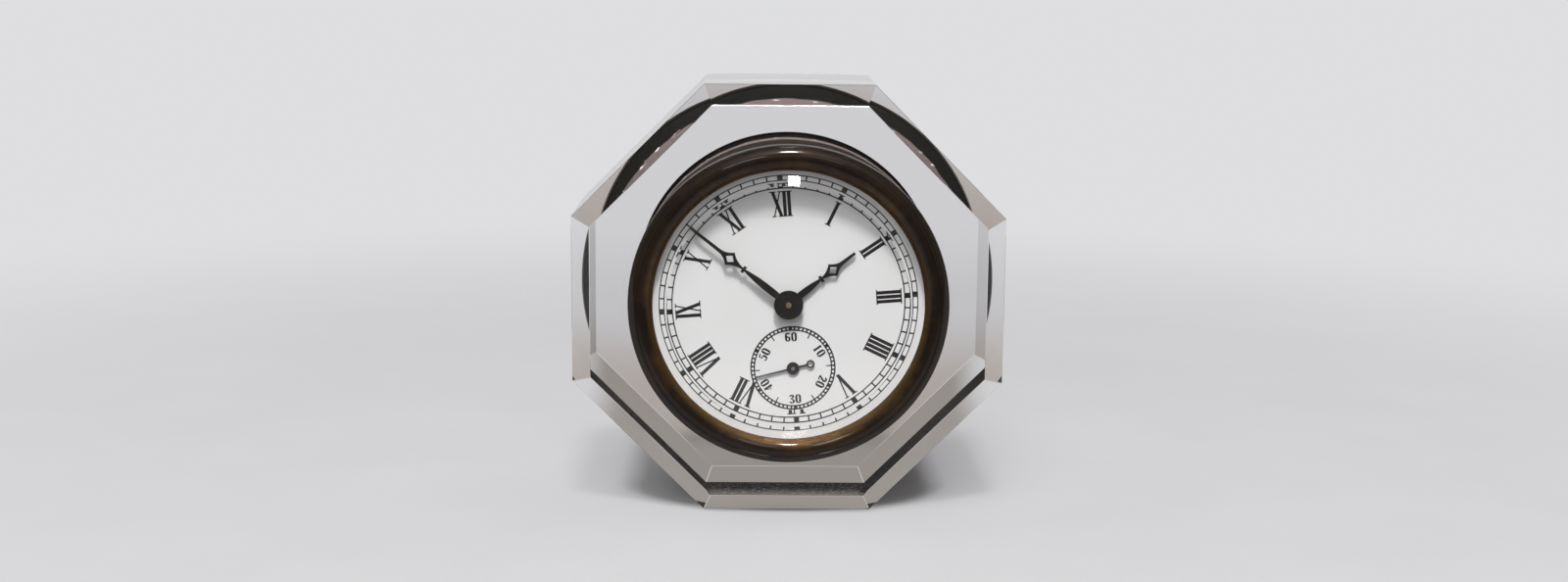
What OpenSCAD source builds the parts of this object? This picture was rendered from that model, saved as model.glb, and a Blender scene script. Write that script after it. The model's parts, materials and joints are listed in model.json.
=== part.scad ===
// Octagonal glass paperweight clock with a thirty-hour lever movement in a brass case.
// Frame: +Z up, the dial faces -Y, and the origin is the middle of the resting facet.
// Depths are measured back from the front face of the glass, heights forward from it.

/* [Glass block] */
// Width across the upright flats
block_w = 100; // [92:1:120]
// Height from the resting facet to the top facet
block_h = 99.6; // [92:0.2:120]
// Depth between the front and rear bevels
block_d = 36.9; // [30:0.1:48]
// How far each corner of the square outline is cut back
corner_cut = 30.5; // [22:0.5:34]
// Width of the bevels around the front face
face_bevel = 4.5; // [2:0.5:5]
// Width of the bevels around the rear face
rear_bevel = 3.6; // [2:0.1:5]
// Radius of the bore through the glass
bore_r = 36; // [35.8:0.1:43.2]
// Gap between the bore and the case
bore_gap = 0.2; // [0.1:0.05:0.5]

/* [Bezel and crystal] */
// How far the bezel covers the glass around the bore
bezel_lap = 0.7; // [0.5:0.1:1.2]
// Width of the bezel's half-round section
bezel_w = 5.8; // [5:0.1:7.6]
// How far the bezel stands out from the glass
bezel_h = 5; // [4:0.1:7]
// How far the crystal reaches under the bezel
crystal_lap = 1.1; // [0.6:0.1:1.4]
// Width of the bevel around the crystal
crystal_bevel = 4.25; // [3:0.05:6]
// Thickness of the crystal in the middle
crystal_t = 3.4; // [2.8:0.1:3.8]
// Thickness of the crystal at its edge
crystal_edge = 0.5; // [0.4:0.1:0.8]

/* [Dial and hands] */
// Space between the crystal and the dial
hand_room = 3.1; // [2.9:0.1:4]
// Thickness of the dial
dial_t = 0.9; // [0.6:0.1:1.4]
// How far the dial and movement are turned counter-clockwise in the glass
movement_turn = 4.4; // [0:0.1:12]
// Distance from the dial's centre down to the seconds arbor
seconds_drop = 15.1; // [14.5:0.1:18]
// Length of the minute hand from its axis
minute_len = 27.5; // [23:0.5:30]
// Length of the hour hand from its axis
hour_len = 19.2; // [16:0.2:24]
// Length of the seconds hand from its axis
second_len = 9; // [7:0.1:10.6]
// Radius of the black disc over the hub of the hands
hub_r = 3.35; // [2.8:0.05:4.2]
// Where the minute hand points, in degrees clockwise from the twelve
minute_points = 312.5; // [0:0.5:360]
// Where the hour hand points, in degrees clockwise from the twelve
hour_points = 56; // [0:0.5:360]
// Where the seconds hand points, in degrees clockwise from its sixty
second_points = 260; // [0:0.5:360]

/* [Case] */
// Wall of the brass case
drum_wall = 0.8; // [0.6:0.1:1]
// Width of the ledge that carries the front plate
ledge_w = 1.4; // [1:0.1:1.8]
// Thickness of that ledge
ledge_t = 1; // [0.8:0.1:1.4]
// Thickness of the back cover
cover_t = 1.2; // [0.8:0.1:2]
// How far the back cover covers the glass around the bore
cover_lap = 0.5; // [0.4:0.1:3]
// Length of the lip that centres the back cover in the case
lip_depth = 3; // [1:0.5:5]

/* [Movement] */
// Thickness of the two movement plates
plate_t = 1.5; // [1.2:0.1:2]
// Depth from one wheel of the train to the next
level_pitch = 3.5; // [3.2:0.1:4.4]
// Thickness of the train wheels
wheel_t = 0.9; // [0.6:0.1:1.2]
// Thickness of the great wheel
great_t = 1.2; // [0.9:0.1:1.5]
// Radius of the train arbors between the plates
arbor_r = 0.7; // [0.5:0.05:0.75]
// Radius of the pivots that run in the plates
pivot_r = 0.45; // [0.3:0.05:0.5]
// Running clearance around each pivot
run_gap = 0.03; // [0.02:0.01:0.06]
// Tooth module of the great wheel and centre pinion
great_m = 0.48; // [0.44:0.01:0.5]
// Tooth module of the centre wheel and third pinion
centre_m = 0.4; // [0.37:0.01:0.41]
// Tooth module of the third wheel and fourth pinion
third_m = 0.375; // [0.34:0.005:0.4]
// Tooth module of the fourth wheel and escape pinion
fourth_m = 0.3; // [0.28:0.01:0.33]
// Tooth module of the cannon pinion and minute wheel
cannon_m = 0.3; // [0.28:0.01:0.36]
// Radius of the escape wheel at its tooth tips
escape_r = 4.5; // [4.2:0.1:5]
// Distance from the pallet arbor to the balance staff
lever_len = 10.3; // [9.5:0.1:11]
// Outer radius of the balance rim
balance_r = 9; // [7.6:0.1:9.4]
// Radius of the ratchet wheel at its tooth tips
ratchet_r = 5; // [4.2:0.1:6]
// Outer radius of the mainspring
mainspring_r = 11; // [9:0.1:11.5]
// Outer radius of the hairspring
hairspring_r = 5.7; // [5:0.1:6]

/* [Winding and setting] */
// Length of each wing of the winding key from its axis
key_reach = 10.5; // [8:0.1:11]
// How far the winding arbor stands out behind the back cover
key_out = 9; // [7:0.5:14]
// Radius of the hand-setting knob
knob_r = 5.2; // [4:0.1:5.6]
// Thickness of the hand-setting knob
knob_t = 5; // [3:0.5:7]

/* [Hidden] */
$fn = 64;
// How far a cutter runs past the face that it cuts
over = 0.01;
// Loose fits, end shake of the arbors, and room for a piece to pass
fit_gap = 0.1;
end_play = 0.3;
pass_gap = 0.4;

// Places in depth, from the crystal back to the cover
block_thick = block_d + face_bevel + rear_bevel;
axis_z = block_h / 2;
crystal_back = bezel_h - crystal_t;
dial_d = hand_room - crystal_back;
dial_back = dial_d + dial_t;
washer_room = 0.8;
motion_t = 0.7;
motion_gap = 1.1;
hour_wheel_d = dial_back + washer_room;
minute_wheel_d = hour_wheel_d + motion_t + motion_gap;
front_d = minute_wheel_d + motion_t + washer_room;
inside_d = front_d + plate_t;
first_gap = 1.6;
back_room = 5.2;
back_d = level(4) + great_t + back_room;
rear_d = back_d + plate_t;
cover_d = block_thick;
cover_rear = cover_d + cover_t;

// Case radii
drum_r = bore_r - bore_gap;
drum_in = drum_r - drum_wall;
bezel_r = bore_r + bezel_lap;
bezel_in = bezel_r - bezel_w;
crystal_r = bezel_in + crystal_lap;
crystal_flat = crystal_r - crystal_bevel;
crystal_seat = 0.6;
dial_r = drum_in - 2 * fit_gap;
front_r = drum_in - fit_gap;
back_r = drum_in - ledge_w - pass_gap;
cover_r = bore_r + cover_lap;
lip_r = drum_in - 2 * fit_gap;
lip_wall = 0.8;

// Tooth counts
GREAT_TEETH = 60;
CENTRE_LEAVES = 10;
CENTRE_TEETH = 64;
THIRD_TEETH = 60;
FOURTH_TEETH = 64;
TRAIN_LEAVES = 8;
ESCAPE_TEETH = 15;
CANNON_LEAVES = 12;
MINUTE_TEETH = 36;
MINUTE_LEAVES = 10;
HOUR_TEETH = 40;
RATCHET_TEETH = 20;
// Share of a pitch filled at the pitch line and at the tip, then addendum and dedendum in modules
WHEEL_TOOTH = [0.42, 0.14, 0.95, 1.25];
PINION_LEAF = [0.34, 0.16, 0.7, 1.35];
hour_m = cannon_m * (CANNON_LEAVES + MINUTE_TEETH) / (MINUTE_LEAVES + HOUR_TEETH);
leaf_over = 0.5;
wheel_hub_r = 2.4;
wheel_rim = 1;
wheel_arms = 5;
wheel_arm_w = 1.2;

// Arbor places, seen from the front with the twelve upward
great_dir = 110;
escape_dir = 12;
lever_dir = 67.2;
stud_dir = 45;
fourth_at = [0, -seconds_drop];
centre_third = centre_m * (CENTRE_TEETH + TRAIN_LEAVES) / 2;
third_fourth = third_m * (THIRD_TEETH + TRAIN_LEAVES) / 2;
third_turn = acos((pow(centre_third, 2) + pow(seconds_drop, 2) - pow(third_fourth, 2))
    / (2 * centre_third * seconds_drop));
third_dir = -90 - third_turn;
third_at = polar(centre_third, third_dir);
third_fourth_dir = atan2(fourth_at.y - third_at.y, fourth_at.x - third_at.x);
great_at = polar(great_m * (GREAT_TEETH + CENTRE_LEAVES) / 2, great_dir);
escape_at = fourth_at + polar(fourth_m * (FOURTH_TEETH + TRAIN_LEAVES) / 2, escape_dir);
stud_at = polar(cannon_m * (CANNON_LEAVES + MINUTE_TEETH) / 2, stud_dir);
pin_r = 0.25;
pin_clear = 0.08;
pallet_span = 81;
pin_circle = escape_r + pin_r + pin_clear;
pallet_dist = pin_circle / cos(pallet_span / 2);
pallet_arm = pin_circle * tan(pallet_span / 2);
pallet_pin_at = [pallet_arm * cos(pallet_span / 2), -pallet_arm * sin(pallet_span / 2)];
pallet_at = escape_at + polar(pallet_dist, lever_dir);
balance_at = pallet_at + polar(lever_len, lever_dir);

// Frame of the movement
pillar_r = 1.7;
pillar_tenon_r = 1;
pillar_stud_r = 1.1;
pillar_edge = 3.7;
pillar_at_r = back_r - pillar_edge;
PILLAR_DIRS = [60, 180, 300];
foot_r = 0.8;
foot_edge = 3.2;
foot_at_r = back_r - foot_edge;
FOOT_DIRS = [0, 120, 240];
nut_r = 2.4;
nut_t = 1.6;
stud_r = 0.7;
screw_r = 1.3;
screw_out = 1.6;
pivot_cup = 1;

// Centre, hour and winding arbors
centre_tip_r = 0.65;
centre_body_r = 1.1;
centre_rear_r = 0.9;
cannon_r = 1;
hour_pipe_r = 1.6;
hour_hole_gap = 0.8;
hour_collet_w = 0.5;
hour_collet_t = 0.4;
washer_w = 2;
washer_t = 0.5;
wind_front_r = 1;
wind_body_r = 1.8;
wind_rear_r = 1.4;
knob_gap = 1;
cover_hole_gap = 0.6;

// Escapement
escape_t = 0.6;
escape_tooth = 1.15;
escape_root = escape_r - escape_tooth;
escape_lead = 6;
lever_gap = 0.7;
lever_d = level(3) + escape_t + lever_gap;
lever_t = 0.8;
impulse_at_r = 2;
impulse_r = 0.35;
roller_r = 2.4;
roller_d = lever_d + lever_t + end_play;
roller_t = 0.7;
balance_gap = 0.6;
balance_d = level(4) + balance_gap;
balance_t = 1.4;
balance_rim = 1.3;

// Hairspring and regulator
hairspring_room = 2.2;
hairspring_d = back_d - hairspring_room;
hairspring_w = 0.5;
hairspring_strip = 0.12;
hairspring_in = 1.7;
hairspring_turns = 6;
hair_stud_r = 0.7;
collet_r = hairspring_in - hairspring_strip / 2 - fit_gap;
index_dir = 20;
index_r = 10;
index_pin_r = 0.6;
index_out = 2;
index_swing = 18;
slot_spread = 6;
slot_gap = 0.3;
curb_dir = index_dir + 180;
curb_half = 0.35;
curb_r = 0.2;
curb_slot_w = 2 * (curb_half + curb_r) + slot_gap;
hairspring_tail = 32;
hairspring_end = curb_dir + hairspring_tail;
// Radius of the coil where the curb pins stand on its two sides
curb_at_r = hairspring_r
    - (hairspring_r - hairspring_in) / hairspring_turns * hairspring_tail / 360;

// Ratchet, click and mainspring
ratchet_gap = 0.15;
ratchet_d = level(4) + great_t + ratchet_gap;
ratchet_t = 1;
ratchet_tooth = 0.7;
ratchet_lag = 2;
click_clear = 0.12;
click_dir = 200;
click_tip = [ratchet_r + click_clear, 0];
click_reach = [0.6, 5.5];
click_pivot = click_tip + click_reach;
click_boss_r = 1.3;
click_screw_r = 0.7;
click_head_t = 0.7;
click_spring_back = [4, -1.5];
click_spring_foot = click_tip + click_spring_back;
click_spring_touch = [1.75, 0.6];
click_spring_tip = click_tip + click_spring_touch;
click_spring_r = 0.8;
click_spring_strip = 0.3;
mainspring_strip = 0.35;
mainspring_turns = 7;
mainspring_gap = 1;
mainspring_d = level(1) - mainspring_gap;
mainspring_end_d = level(4) - great_t;
mainspring_coil_gap = 0.5;
mainspring_in = wind_body_r + mainspring_coil_gap;
mainspring_dir = 150;
mainspring_post_r = 0.9;
mainspring_post_at = great_at
    + polar(mainspring_r + mainspring_strip / 2 + mainspring_post_r, mainspring_dir);
SPIRAL_STEPS = 24;

// Hands: how far each lies in front of the dial, and their shapes
hand_t = 0.3;
second_t = 0.25;
second_lift = 0.5;
hour_lift = 0.95;
minute_lift = 1.7;
second_d = dial_d - second_lift;
hour_d = dial_d - hour_lift;
minute_d = dial_d - minute_lift;
boss_t = 0.4;
boss_lap = 0.5;
arbor_tip_d = minute_d - boss_t - end_play;
// Half-widths of the root, leaf, cross bar, diamond, neck and tip
MINUTE_WIDTHS = [0.5, 1.3, 0.82, 1.8, 0.4, 0.32];
HOUR_WIDTHS = [0.5, 1.2, 0.8, 1.7, 0.42, 0.3];
// Distances from the axis to the cross bar, the diamond and the neck beyond it
MINUTE_PLACES = [13.1, 17.1, 20.2];
HOUR_PLACES = [9.5, 12.85, 15.6];
leaf_peak = 0.55;
hand_waist = 0.2;
diamond_waist = 0.45;
diamond_flare = 1.3;
diamond_hole = [0.95, 1.12];
bar_t = 0.7;

// Depth of the front face of each train wheel, from the centre wheel back to the great wheel
function level(k) = inside_d + first_gap + k * level_pitch;

function polar(r, a) = [r * cos(a), r * sin(a)];

// Rest turn of a gear with n2 teeth that meshes, in direction dir, with one of n1 teeth
function mesh_turn(dir, n1, n2) = dir + 180 - 360 / n2 * (0.5 - dir * n1 / 360);

// Outline of a gear, one tooth after another
function gear_outline(n, m, tooth, turn) = [
    for (k = [0:n - 1])
        let (r = n * m / 2, pitch = 360 / n, a = turn + k * pitch)
            each [
                polar(r - tooth[3] * m, a - pitch * tooth[0] / 2),
                polar(r, a - pitch * tooth[0] / 2),
                polar(r + tooth[2] * m, a - pitch * tooth[1] / 2),
                polar(r + tooth[2] * m, a + pitch * tooth[1] / 2),
                polar(r, a + pitch * tooth[0] / 2),
                polar(r - tooth[3] * m, a + pitch * tooth[0] / 2)
            ]
];

// Outline of a saw-toothed wheel whose steep faces lead counter-clockwise
function saw_outline(n, tip, root, back, turn, flat = 1.5) = [
    for (k = [0:n - 1])
        let (a = turn + 360 * k / n)
            each [polar(root, a - back), polar(tip, a - flat), polar(tip, a), polar(root, a)]
];

// One point of a flat spiral that ends at radius r1 and angle last
function spiral_point(r0, r1, turns, last, t) =
    polar(r0 + (r1 - r0) * t, last - 360 * turns * (1 - t));

// Outline of a spiral strip
function spiral_outline(r0, r1, turns, strip, last) =
    let (steps = turns * SPIRAL_STEPS, half = strip / 2)
        concat(
            [for (i = [0:steps]) spiral_point(r0 + half, r1 + half, turns, last, i / steps)],
            [for (i = [steps:-1:0]) spiral_point(r0 - half, r1 - half, turns, last, i / steps)]
        );

// Points on a curve from a to c that is drawn toward b
function curve(a, b, c, steps = 8) = [
    for (i = [0:steps])
        let (t = i / steps)
            a * (1 - t) * (1 - t) + b * 2 * t * (1 - t) + c * t * t
];

// One side of a hand's outline, from the hub to the tip
function hand_side(length, w, p) = concat(
    curve([w[0], 0], [w[1], leaf_peak * p[0]], [hand_waist, p[0]]),
    curve([hand_waist, p[0]], [diamond_waist, p[1] - diamond_flare], [w[3], p[1]]),
    curve([w[3], p[1]], [diamond_waist, p[1] + diamond_flare], [w[4], p[2]]),
    [[w[5], length]]
);

// Distance from the middle of the block to each of its eight sides
function side_dist(i) =
    i % 4 == 0 ? block_w / 2
    : i % 4 == 2 ? block_h / 2
    : (block_w / 2 + block_h / 2 - corner_cut) / sqrt(2);

// Outline of the room that the bezel leaves for the crystal and the case rim
function bezel_room() = [
    [0, -end_play], [drum_r, -end_play], [drum_r, crystal_back], [crystal_r, crystal_back],
    [crystal_r, crystal_back + crystal_edge], [crystal_flat, bezel_h],
    [crystal_flat, bezel_h + end_play], [0, bezel_h + end_play]
];

// Places children in the dial's own plane: x right, y up, z toward the viewer
module in_clock()
    translate([0, -block_thick / 2, axis_z])
        rotate([0, -movement_turn, 0])
            rotate([90, 0, 0])
                children();

module at(p)
    translate([p.x, p.y, 0])
        children();

module rod(r, from, to)
    translate([0, 0, -to])
        cylinder(r = r, h = to - from);

// A round cutter that runs a little past both ends
module drill(r, from, to)
    rod(r, from - over, to + over);

module tube(r_out, r_in, from, to)
    difference() {
        rod(r_out, from, to);
        drill(r_in, from, to);
    }

// A flat piece whose outline is the children, from a depth backward
module slab(from, t)
    translate([0, 0, -from - t])
        linear_extrude(t)
            children();

module slot(from, t)
    slab(from - over, t + 2 * over)
        children();

// An arc-shaped slot about the local axis
module arc_slot(r, w, mid, half, from, t)
    rotate(mid - half)
        translate([0, 0, -from - t - over])
            rotate_extrude(angle = 2 * half)
                translate([r - w / 2, 0])
                    square([w, t + 2 * over]);

module gear(n, m, tooth, turn, from, t)
    slab(from, t)
        polygon(gear_outline(n, m, tooth, turn));

module pinion(m, leaves, turn, from, wheel)
    gear(leaves, m, PINION_LEAF, turn, from - leaf_over, wheel + 2 * leaf_over);

// Windows between the arms of a wheel
module windows(r_in, r_out, arms, arm_w, from, t)
    difference() {
        tube(r_out, r_in, from - over, from + t + over);
        for (k = [0:arms - 1])
            rotate(360 * k / arms)
                translate([0, -arm_w / 2, -from - 2 * t])
                    cube([2 * r_out, arm_w, 3 * t]);
    }

module train_wheel(n, m, from, bore)
    difference() {
        gear(n, m, WHEEL_TOOTH, 0, from, wheel_t);
        windows(wheel_hub_r, n * m / 2 - WHEEL_TOOTH[3] * m - wheel_rim, wheel_arms, wheel_arm_w,
            from, wheel_t);
        drill(bore, from, from + wheel_t);
    }

// Arbor with a pivot in each plate
module pivoted_arbor() {
    rod(pivot_r, front_d, inside_d + end_play);
    rod(arbor_r, inside_d + end_play, back_d - end_play);
    rod(pivot_r, back_d - end_play, rear_d);
}

module pivot_holes(from)
    for (p = [third_at, fourth_at, escape_at, pallet_at])
        at(p)
            drill(pivot_r + run_gap, from, from + plate_t);

// A pierced hand that points up, with a cross bar and an open diamond
module hand(length, w, p, hub, bore, from) {
    side = hand_side(length, w, p);
    difference() {
        union() {
            slab(from, hand_t)
                polygon(concat(side, [for (i = [len(side) - 1:-1:0]) [-side[i].x, side[i].y]]));
            slab(from, hand_t)
                translate([-w[2], p[0] - bar_t / 2])
                    square([2 * w[2], bar_t]);
            rod(hub, from, from + hand_t);
        }
        slot(from, hand_t)
            translate([0, p[1]])
                polygon([[diamond_hole.x, 0], [0, diamond_hole.y],
                    [-diamond_hole.x, 0], [0, -diamond_hole.y]]);
        drill(bore, from, from + hand_t);
    }
}

// Everything beyond one bevel of the block, on the front (-1) or the rear (1)
module beyond_bevel(i, s) {
    far = block_w + block_h + block_thick;
    rotate([0, -45 * i, 0])
        translate([side_dist(i), s * (block_thick / 2 - (s < 0 ? face_bevel : rear_bevel)), 0])
            rotate([0, 0, s * 45])
                translate([0, -far / 2, -far / 2])
                    cube(far);
}

module glass_block() {
    w = block_w / 2;
    h = block_h / 2;
    c = corner_cut;
    color("lavender", 0.5)
        difference() {
            translate([0, 0, axis_z])
                difference() {
                    rotate([90, 0, 0])
                        linear_extrude(block_thick, center = true)
                            polygon([[w, c - h], [w, h - c], [w - c, h], [c - w, h],
                                [-w, h - c], [-w, c - h], [c - w, -h], [w - c, -h]]);
                    for (i = [0:7])
                        for (s = [-1, 1])
                            beyond_bevel(i, s);
                }
            in_clock()
                drill(bore_r, 0, block_thick);
        }
}

module case_drum()
    color("saddlebrown")
        in_clock() {
            tube(drum_r, drum_in, -crystal_back, cover_d - end_play);
            tube(drum_in + drum_wall / 2, drum_in - ledge_w, inside_d, inside_d + ledge_t);
        }

module bezel() {
    roll = bezel_w / 2;
    color("#5a4128")
        in_clock()
            difference() {
                union() {
                    rotate_extrude()
                        translate([bezel_r - roll, bezel_h - roll])
                            circle(roll);
                    tube(bezel_r, bezel_in, roll - bezel_h, 0);
                }
                rotate_extrude()
                    polygon(bezel_room());
                rod(bezel_r + bezel_w, 0, bezel_w);
            }
}

module crystal()
    color("azure", 0.4)
        in_clock()
            rotate_extrude()
                polygon([[0, crystal_back], [crystal_r, crystal_back],
                    [crystal_r, crystal_back + crystal_edge], [crystal_flat, bezel_h],
                    [0, bezel_h]]);

module crystal_ring()
    color("#6b5030")
        in_clock()
            tube(front_r, crystal_r - crystal_seat, -crystal_back, dial_d);

module dial()
    color("whitesmoke")
        in_clock()
            difference() {
                rod(dial_r, dial_d, dial_back);
                drill(hour_pipe_r + hour_hole_gap, dial_d, dial_back);
                at(fourth_at)
                    drill(pivot_r + pass_gap, dial_d, dial_back);
            }

module dial_feet()
    color("darkgoldenrod")
        in_clock()
            for (a = FOOT_DIRS)
                at(polar(foot_at_r, a))
                    rod(foot_r, dial_back, inside_d + end_play);

module front_plate()
    color("goldenrod")
        in_clock()
            difference() {
                rod(front_r, front_d, inside_d);
                pivot_holes(front_d);
                drill(centre_tip_r + run_gap, front_d, inside_d);
                at(great_at)
                    drill(wind_front_r + run_gap, front_d, inside_d);
                at(balance_at)
                    drill(screw_r, front_d, inside_d);
                at(stud_at)
                    drill(stud_r, front_d, inside_d);
                at(mainspring_post_at)
                    drill(mainspring_post_r, front_d, inside_d);
                for (a = PILLAR_DIRS)
                    at(polar(pillar_at_r, a))
                        drill(pillar_tenon_r, front_d, inside_d);
                for (a = FOOT_DIRS)
                    at(polar(foot_at_r, a))
                        drill(foot_r + run_gap, front_d, inside_d);
            }

module back_plate()
    color("goldenrod")
        in_clock()
            difference() {
                rod(back_r, back_d, rear_d);
                pivot_holes(back_d);
                drill(centre_rear_r + run_gap, back_d, rear_d);
                at(great_at)
                    drill(wind_rear_r + run_gap, back_d, rear_d);
                at(balance_at) {
                    drill(screw_r, back_d, rear_d);
                    arc_slot(curb_at_r, curb_slot_w, curb_dir, index_swing + slot_spread,
                        back_d, plate_t);
                }
                for (a = PILLAR_DIRS)
                    at(polar(pillar_at_r, a))
                        drill(pillar_stud_r, back_d, rear_d);
            }

module plate_pillars()
    color("peru")
        in_clock()
            for (a = PILLAR_DIRS)
                at(polar(pillar_at_r, a)) {
                    rod(pillar_tenon_r, front_d, inside_d);
                    rod(pillar_r, inside_d, back_d);
                    rod(pillar_stud_r, back_d, cover_rear + nut_t + end_play);
                }

// One six-sided nut on each pillar stud
module stud_nuts(from)
    in_clock()
        for (a = PILLAR_DIRS)
            at(polar(pillar_at_r, a))
                difference() {
                    translate([0, 0, -from - nut_t])
                        cylinder(r = nut_r, h = nut_t, $fn = 6);
                    drill(pillar_stud_r, from, from + nut_t);
                }

module plate_nuts()
    color("slategray")
        stud_nuts(rear_d);

module cover_nuts()
    color("darkgoldenrod")
        stud_nuts(cover_rear);

module back_cover()
    color("#7a5b30")
        in_clock()
            difference() {
                rod(cover_r, cover_d, cover_rear);
                drill(centre_rear_r + cover_hole_gap, cover_d, cover_rear);
                at(great_at)
                    drill(wind_rear_r + cover_hole_gap, cover_d, cover_rear);
                at(balance_at)
                    arc_slot(index_r, 2 * (index_pin_r + slot_gap), index_dir,
                        index_swing + slot_spread, cover_d, cover_t);
                for (a = PILLAR_DIRS)
                    at(polar(pillar_at_r, a))
                        drill(pillar_stud_r, cover_d, cover_rear);
            }

module cover_lip()
    color("#6b5030")
        in_clock()
            tube(lip_r, lip_r - lip_wall, cover_d - lip_depth, cover_d);

module minute_wheel_stud()
    color("silver")
        in_clock()
            at(stud_at)
                rod(stud_r, dial_back + pass_gap, inside_d);

module balance_screws()
    color("slategray")
        in_clock()
            at(balance_at) {
                difference() {
                    rod(screw_r, front_d - washer_room, inside_d + pivot_cup);
                    rod(pivot_r + run_gap, inside_d, inside_d + pivot_cup + over);
                }
                difference() {
                    rod(screw_r, back_d - pivot_cup, rear_d + screw_out);
                    rod(pivot_r + run_gap, back_d - pivot_cup - over, back_d);
                }
            }

module hairspring_stud()
    color("darkgoldenrod")
        in_clock()
            at(balance_at + polar(hairspring_r + hairspring_strip / 2 + hair_stud_r, hairspring_end))
                rod(hair_stud_r, hairspring_d - end_play, back_d);

module mainspring_post()
    color("slategray")
        in_clock()
            at(mainspring_post_at)
                rod(mainspring_post_r, front_d, mainspring_end_d);

module mainspring()
    color("steelblue")
        in_clock()
            at(great_at)
                slab(mainspring_d, mainspring_end_d - mainspring_d)
                    polygon(spiral_outline(mainspring_in, mainspring_r, mainspring_turns,
                        mainspring_strip, mainspring_dir));

module hairspring()
    color("steelblue")
        in_clock()
            at(balance_at)
                slab(hairspring_d, hairspring_w)
                    polygon(spiral_outline(hairspring_in, hairspring_r, hairspring_turns,
                        hairspring_strip, hairspring_end));

module centre_arbor()
    color("silver")
        in_clock() {
            rod(centre_tip_r, arbor_tip_d, inside_d + end_play);
            rod(centre_body_r, inside_d + end_play, back_d - end_play);
            rod(centre_rear_r, back_d - end_play, cover_rear + knob_gap + knob_t);
            pinion(great_m, CENTRE_LEAVES, 0, level(4), great_t);
        }

module centre_wheel()
    color("gold")
        in_clock()
            train_wheel(CENTRE_TEETH, centre_m, level(0), centre_body_r);

module cannon_pinion()
    color("silver")
        in_clock()
            difference() {
                union() {
                    rod(cannon_r, minute_d + hand_t, minute_wheel_d);
                    pinion(cannon_m, CANNON_LEAVES, 0, minute_wheel_d, motion_t);
                }
                drill(centre_tip_r, minute_d, front_d);
            }

module minute_hand()
    color("black")
        in_clock()
            rotate(-minute_points)
                hand(minute_len, MINUTE_WIDTHS, MINUTE_PLACES, hub_r - boss_lap, centre_tip_r, minute_d);

module minute_hand_boss()
    color("black")
        in_clock()
            tube(hub_r, centre_tip_r, minute_d - boss_t, minute_d);

module set_knob() {
    flutes = 24;
    flute_r = 0.45;
    edge = 0.6;
    knob_d = cover_rear + knob_gap;
    color("darkgoldenrod")
        in_clock()
            difference() {
                rod(knob_r, knob_d, knob_d + knob_t);
                drill(centre_rear_r, knob_d, knob_d + knob_t);
                for (k = [0:flutes - 1])
                    at(polar(knob_r, 360 * k / flutes))
                        rod(flute_r, knob_d + edge, knob_d + knob_t - edge);
            }
}

module hour_wheel() {
    turn = mesh_turn(stud_dir + 180, MINUTE_LEAVES, HOUR_TEETH);
    color("gold")
        in_clock()
            difference() {
                union() {
                    gear(HOUR_TEETH, hour_m, WHEEL_TOOTH, turn, hour_wheel_d, motion_t);
                    rod(hour_pipe_r, hour_d, hour_wheel_d + motion_t);
                }
                drill(cannon_r + run_gap, hour_d, hour_wheel_d + motion_t);
            }
}

module hour_hand()
    color("black")
        in_clock()
            rotate(-hour_points)
                hand(hour_len, HOUR_WIDTHS, HOUR_PLACES, hub_r - boss_lap, hour_pipe_r, hour_d);

module hour_hand_collet()
    color("darkgoldenrod")
        in_clock()
            tube(hour_pipe_r + hour_collet_w, hour_pipe_r, hour_d + hand_t,
                hour_d + hand_t + hour_collet_t);

module dial_washer()
    color("orange")
        in_clock()
            tube(hour_pipe_r + washer_w, hour_pipe_r, hour_wheel_d - washer_t, hour_wheel_d);

module minute_wheel() {
    turn = mesh_turn(stud_dir, CANNON_LEAVES, MINUTE_TEETH);
    color("gold")
        in_clock()
            at(stud_at)
                difference() {
                    gear(MINUTE_TEETH, cannon_m, WHEEL_TOOTH, turn, minute_wheel_d, motion_t);
                    drill(stud_r + run_gap, minute_wheel_d, minute_wheel_d + motion_t);
                }
}

module minute_pinion() {
    start = hour_wheel_d - 2 * fit_gap;
    color("silver")
        in_clock()
            at(stud_at)
                difference() {
                    gear(MINUTE_LEAVES, hour_m, PINION_LEAF, 0, start, minute_wheel_d - start);
                    drill(stud_r + run_gap, start, minute_wheel_d);
                }
}

module third_arbor()
    color("silver")
        in_clock()
            at(third_at) {
                pivoted_arbor();
                pinion(centre_m, TRAIN_LEAVES, mesh_turn(third_dir, CENTRE_TEETH, TRAIN_LEAVES),
                    level(0), wheel_t);
            }

module third_wheel()
    color("gold")
        in_clock()
            at(third_at)
                train_wheel(THIRD_TEETH, third_m, level(1), arbor_r);

module fourth_arbor()
    color("silver")
        in_clock()
            at(fourth_at) {
                pivoted_arbor();
                rod(pivot_r, second_d - end_play, front_d);
                pinion(third_m, TRAIN_LEAVES, mesh_turn(third_fourth_dir, THIRD_TEETH, TRAIN_LEAVES),
                    level(1), wheel_t);
            }

module fourth_wheel()
    color("gold")
        in_clock()
            at(fourth_at)
                train_wheel(FOURTH_TEETH, fourth_m, level(2), arbor_r);

module second_hand() {
    hub = 1.45;
    tail_at = 4.15;
    ring_out = 0.93;
    ring_in = 0.62;
    stem = [0.21, 0.12];
    end_d = second_d + second_t;
    color("black")
        in_clock()
            at(fourth_at)
                rotate(-second_points)
                    difference() {
                        union() {
                            rod(hub, second_d, end_d);
                            slab(second_d, second_t)
                                polygon([[stem.x, ring_in - tail_at], [stem.y, second_len],
                                    [-stem.y, second_len], [-stem.x, ring_in - tail_at]]);
                            at([0, -tail_at])
                                rod(ring_out, second_d, end_d);
                        }
                        at([0, -tail_at])
                            drill(ring_in, second_d, end_d);
                        drill(pivot_r, second_d, end_d);
                    }
}

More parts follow.
